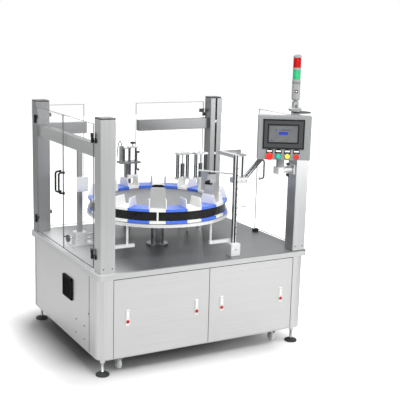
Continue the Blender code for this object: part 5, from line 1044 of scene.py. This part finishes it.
# Dark bands round the tower's body, and a dark plate with a blank card
piece = bmesh.new()
towerPlace = Matrix.Translation((tower["x"], tower["y"], 0)) @ turnZ(-118.0)
for height in (1.852, 1.858, 1.864):
    band = [(tower["radius"] - 0.001, height), (tower["radius"] + 0.0012, height), (tower["radius"] + 0.0012, height + 0.0028), (tower["radius"] - 0.001, height + 0.0028)]
    addTurned(piece, band, "displayDark", towerPlace, 48)
addBlock(piece, (tower["radius"] - 0.006, -0.011, 1.79), (tower["radius"] + 0.0016, 0.011, 1.812), "bezelPlastic", 0.0004, towerPlace)
addBlock(piece, (tower["radius"] - 0.006, -0.005, 1.797), (tower["radius"] + 0.002, 0.005, 1.805), "labelCard", 0.0, towerPlace)
finishPiece("towerMarks", piece, "signal_tower", ())

# Nodes that keep their CAD shape take a finish as they are
keptNodes = {
    "cabinet_shell": "sheetAcross",
    "door_stop": "blackNylon",
    "turntable_disc": "blastedAluminium",
    "turntable_band": "blackEnamel",
    "centre_column": "turnedSteel",
    "guide_ring": "paleAnodised",
    "press_frame": "rearSteelShaded",
    "control_box": "greyPowderCoat",
    "panel_arm": "paleAnodised",
    "tower_base": "towerHousing",
    "tower_body": "towerHousing",
    "caster_fork_left": "zincPlate",
    "caster_fork_right": "zincPlate",
    "index_drive": "greyPowderCoat",
    "electrical_plate": "galvanised",
}
for node, finish in keptNodes.items():
    dressNode(node, finish)
print("panel, tower and kept nodes dressed")


# Floor, world and lamps
def floorFinish():
    # White to the camera where nothing shades it, so that it meets the white background, and plain white card to the
    # rest, darkened where the machine stands by a painted shadow
    material, tree, shader = startFinish("floorCard", "d6d6d6", 0.6)
    mottle(tree, shader, ("d4d4d4", "d8d8d8"), 3.0, (0.55, 0.65), 0.0)
    path = addNode(tree, "ShaderNodeLightPath")
    # The lift starts outside the machine's footprint, so that its contact shadow stays
    lifted = growOutside(tree, light["shaded"], light["floorNear"], light["floorFar"])
    # Painted shadow: the card is darkened where the machine stands, so that the contact shadow is deep
    tintOutside(tree, shader, light["paintedShadowArea"], 1.0, 0.0, light["scuff"])
    seen = addNode(tree, "ShaderNodeMath", {"operation": "MAXIMUM"}, {0: path.outputs["Is Camera Ray"], 1: path.outputs["Is Transmission Ray"]})
    lift = addNode(tree, "ShaderNodeMath", {"operation": "MULTIPLY"}, {0: seen.outputs["Value"], 1: lifted})
    shader.inputs["Emission Color"].default_value = (1, 1, 1, 1)
    tree.links.new(lift.outputs["Value"], shader.inputs["Emission Strength"])
    return material


light = {
    "shaded": ((-0.2, 0.0), (0.6, 0.55), 0.75),
    "floorNear": 0.0,
    "floorFar": 0.9,
    # Area and colour of the painted shadow under the machine
    "paintedShadowArea": ((-0.3, 0.1), (0.3, 0.3), 0.5),
    "scuff": "303030",
    "background": 1.0,
    "mirrored": 0.6,
    "behind": 0.36,
    "ahead": 0.95,
    "key": (-0.7, -3.5, 4.6, 1.9, 180.0),
    "fill": (3.0, -4.2, 2.0, 2.8, 62.0),
    "side": (-4.2, -0.8, 2.4, 2.4, 48.0),
    "back": (1.2, 3.0, 4.6, 2.0, 120.0),
}


def buildWorld():
    world = bpy.data.worlds.new("studio")
    bpy.context.scene.world = world
    world.use_nodes = True
    tree = world.node_tree
    tree.nodes.clear()
    path = addNode(tree, "ShaderNodeLightPath")
    clear = addNode(tree, "ShaderNodeMath", {"operation": "MAXIMUM"}, {0: path.outputs["Is Camera Ray"], 1: path.outputs["Is Transmission Ray"]})
    mirrored = addNode(tree, "ShaderNodeMath", {"operation": "MULTIPLY", 1: light["mirrored"]}, {0: path.outputs["Is Glossy Ray"]})
    seen = addNode(tree, "ShaderNodeMath", {"operation": "MAXIMUM"}, {0: clear.outputs["Value"], 1: mirrored.outputs["Value"]})
    place = addNode(tree, "ShaderNodeTexCoord")
    parts = addNode(tree, "ShaderNodeSeparateXYZ", None, {"Vector": place.outputs["Generated"]})
    # Darker low down and towards the back left, which gives bare metal something to mirror
    ramp = addNode(tree, "ShaderNodeValToRGB", None, {"Fac": parts.outputs["Z"]})
    facing = addNode(tree, "ShaderNodeVectorMath", {"operation": "DOT_PRODUCT", 1: (0.64, -0.77, 0.0)}, {0: place.outputs["Generated"]})
    share = addNode(tree, "ShaderNodeMapRange", {"From Min": -1.0, "From Max": 1.0, "To Min": light["behind"], "To Max": light["ahead"]}, {"Value": facing.outputs["Value"]})
    ramp.color_ramp.elements[0].position = 0.0
    ramp.color_ramp.elements[0].color = linear("a8a8a8")
    ramp.color_ramp.elements[1].position = 0.5
    ramp.color_ramp.elements[1].color = linear("f4f4f4")
    studio = addNode(tree, "ShaderNodeBackground", None, {"Color": ramp.outputs["Color"], "Strength": share.outputs["Result"]})
    white = addNode(tree, "ShaderNodeBackground", {"Color": (1, 1, 1, 1), "Strength": light["background"]})
    mix = addNode(tree, "ShaderNodeMixShader", None, {0: seen.outputs["Value"], 1: studio.outputs["Background"], 2: white.outputs["Background"]})
    addNode(tree, "ShaderNodeOutputWorld", None, {"Surface": mix.outputs["Shader"]})


def addLamp(name, x, y, z, size, power):
    lamp = bpy.data.lights.new(name, "AREA")
    lamp.shape = "DISK"
    lamp.size = size
    lamp.energy = power
    holder = bpy.data.objects.new(name, lamp)
    bpy.context.scene.collection.objects.link(holder)
    place = Vector((x, y, z)) + middle
    aim = Vector((0, 0, 0.8)) + middle - place
    holder.matrix_world = Matrix.Translation(place) @ aim.to_track_quat("-Z", "Y").to_matrix().to_4x4()


buildWorld()
for name in ("key", "fill", "side", "back"):
    addLamp(name + "Lamp", *light[name])

floor = bmesh.new()
bmesh.ops.create_grid(floor, x_segments=1, y_segments=1, size=14.0)
floorMesh = bpy.data.meshes.new("floor")
floor.to_mesh(floorMesh)
floor.free()
floorMesh.materials.append(floorFinish())
floorThing = bpy.data.objects.new("floor", floorMesh)
floorThing.location = (0, 0, -0.0005)
bpy.context.scene.collection.objects.link(floorThing)
bpy.context.scene.view_settings.view_transform = "Standard"
print("lights and floor set")
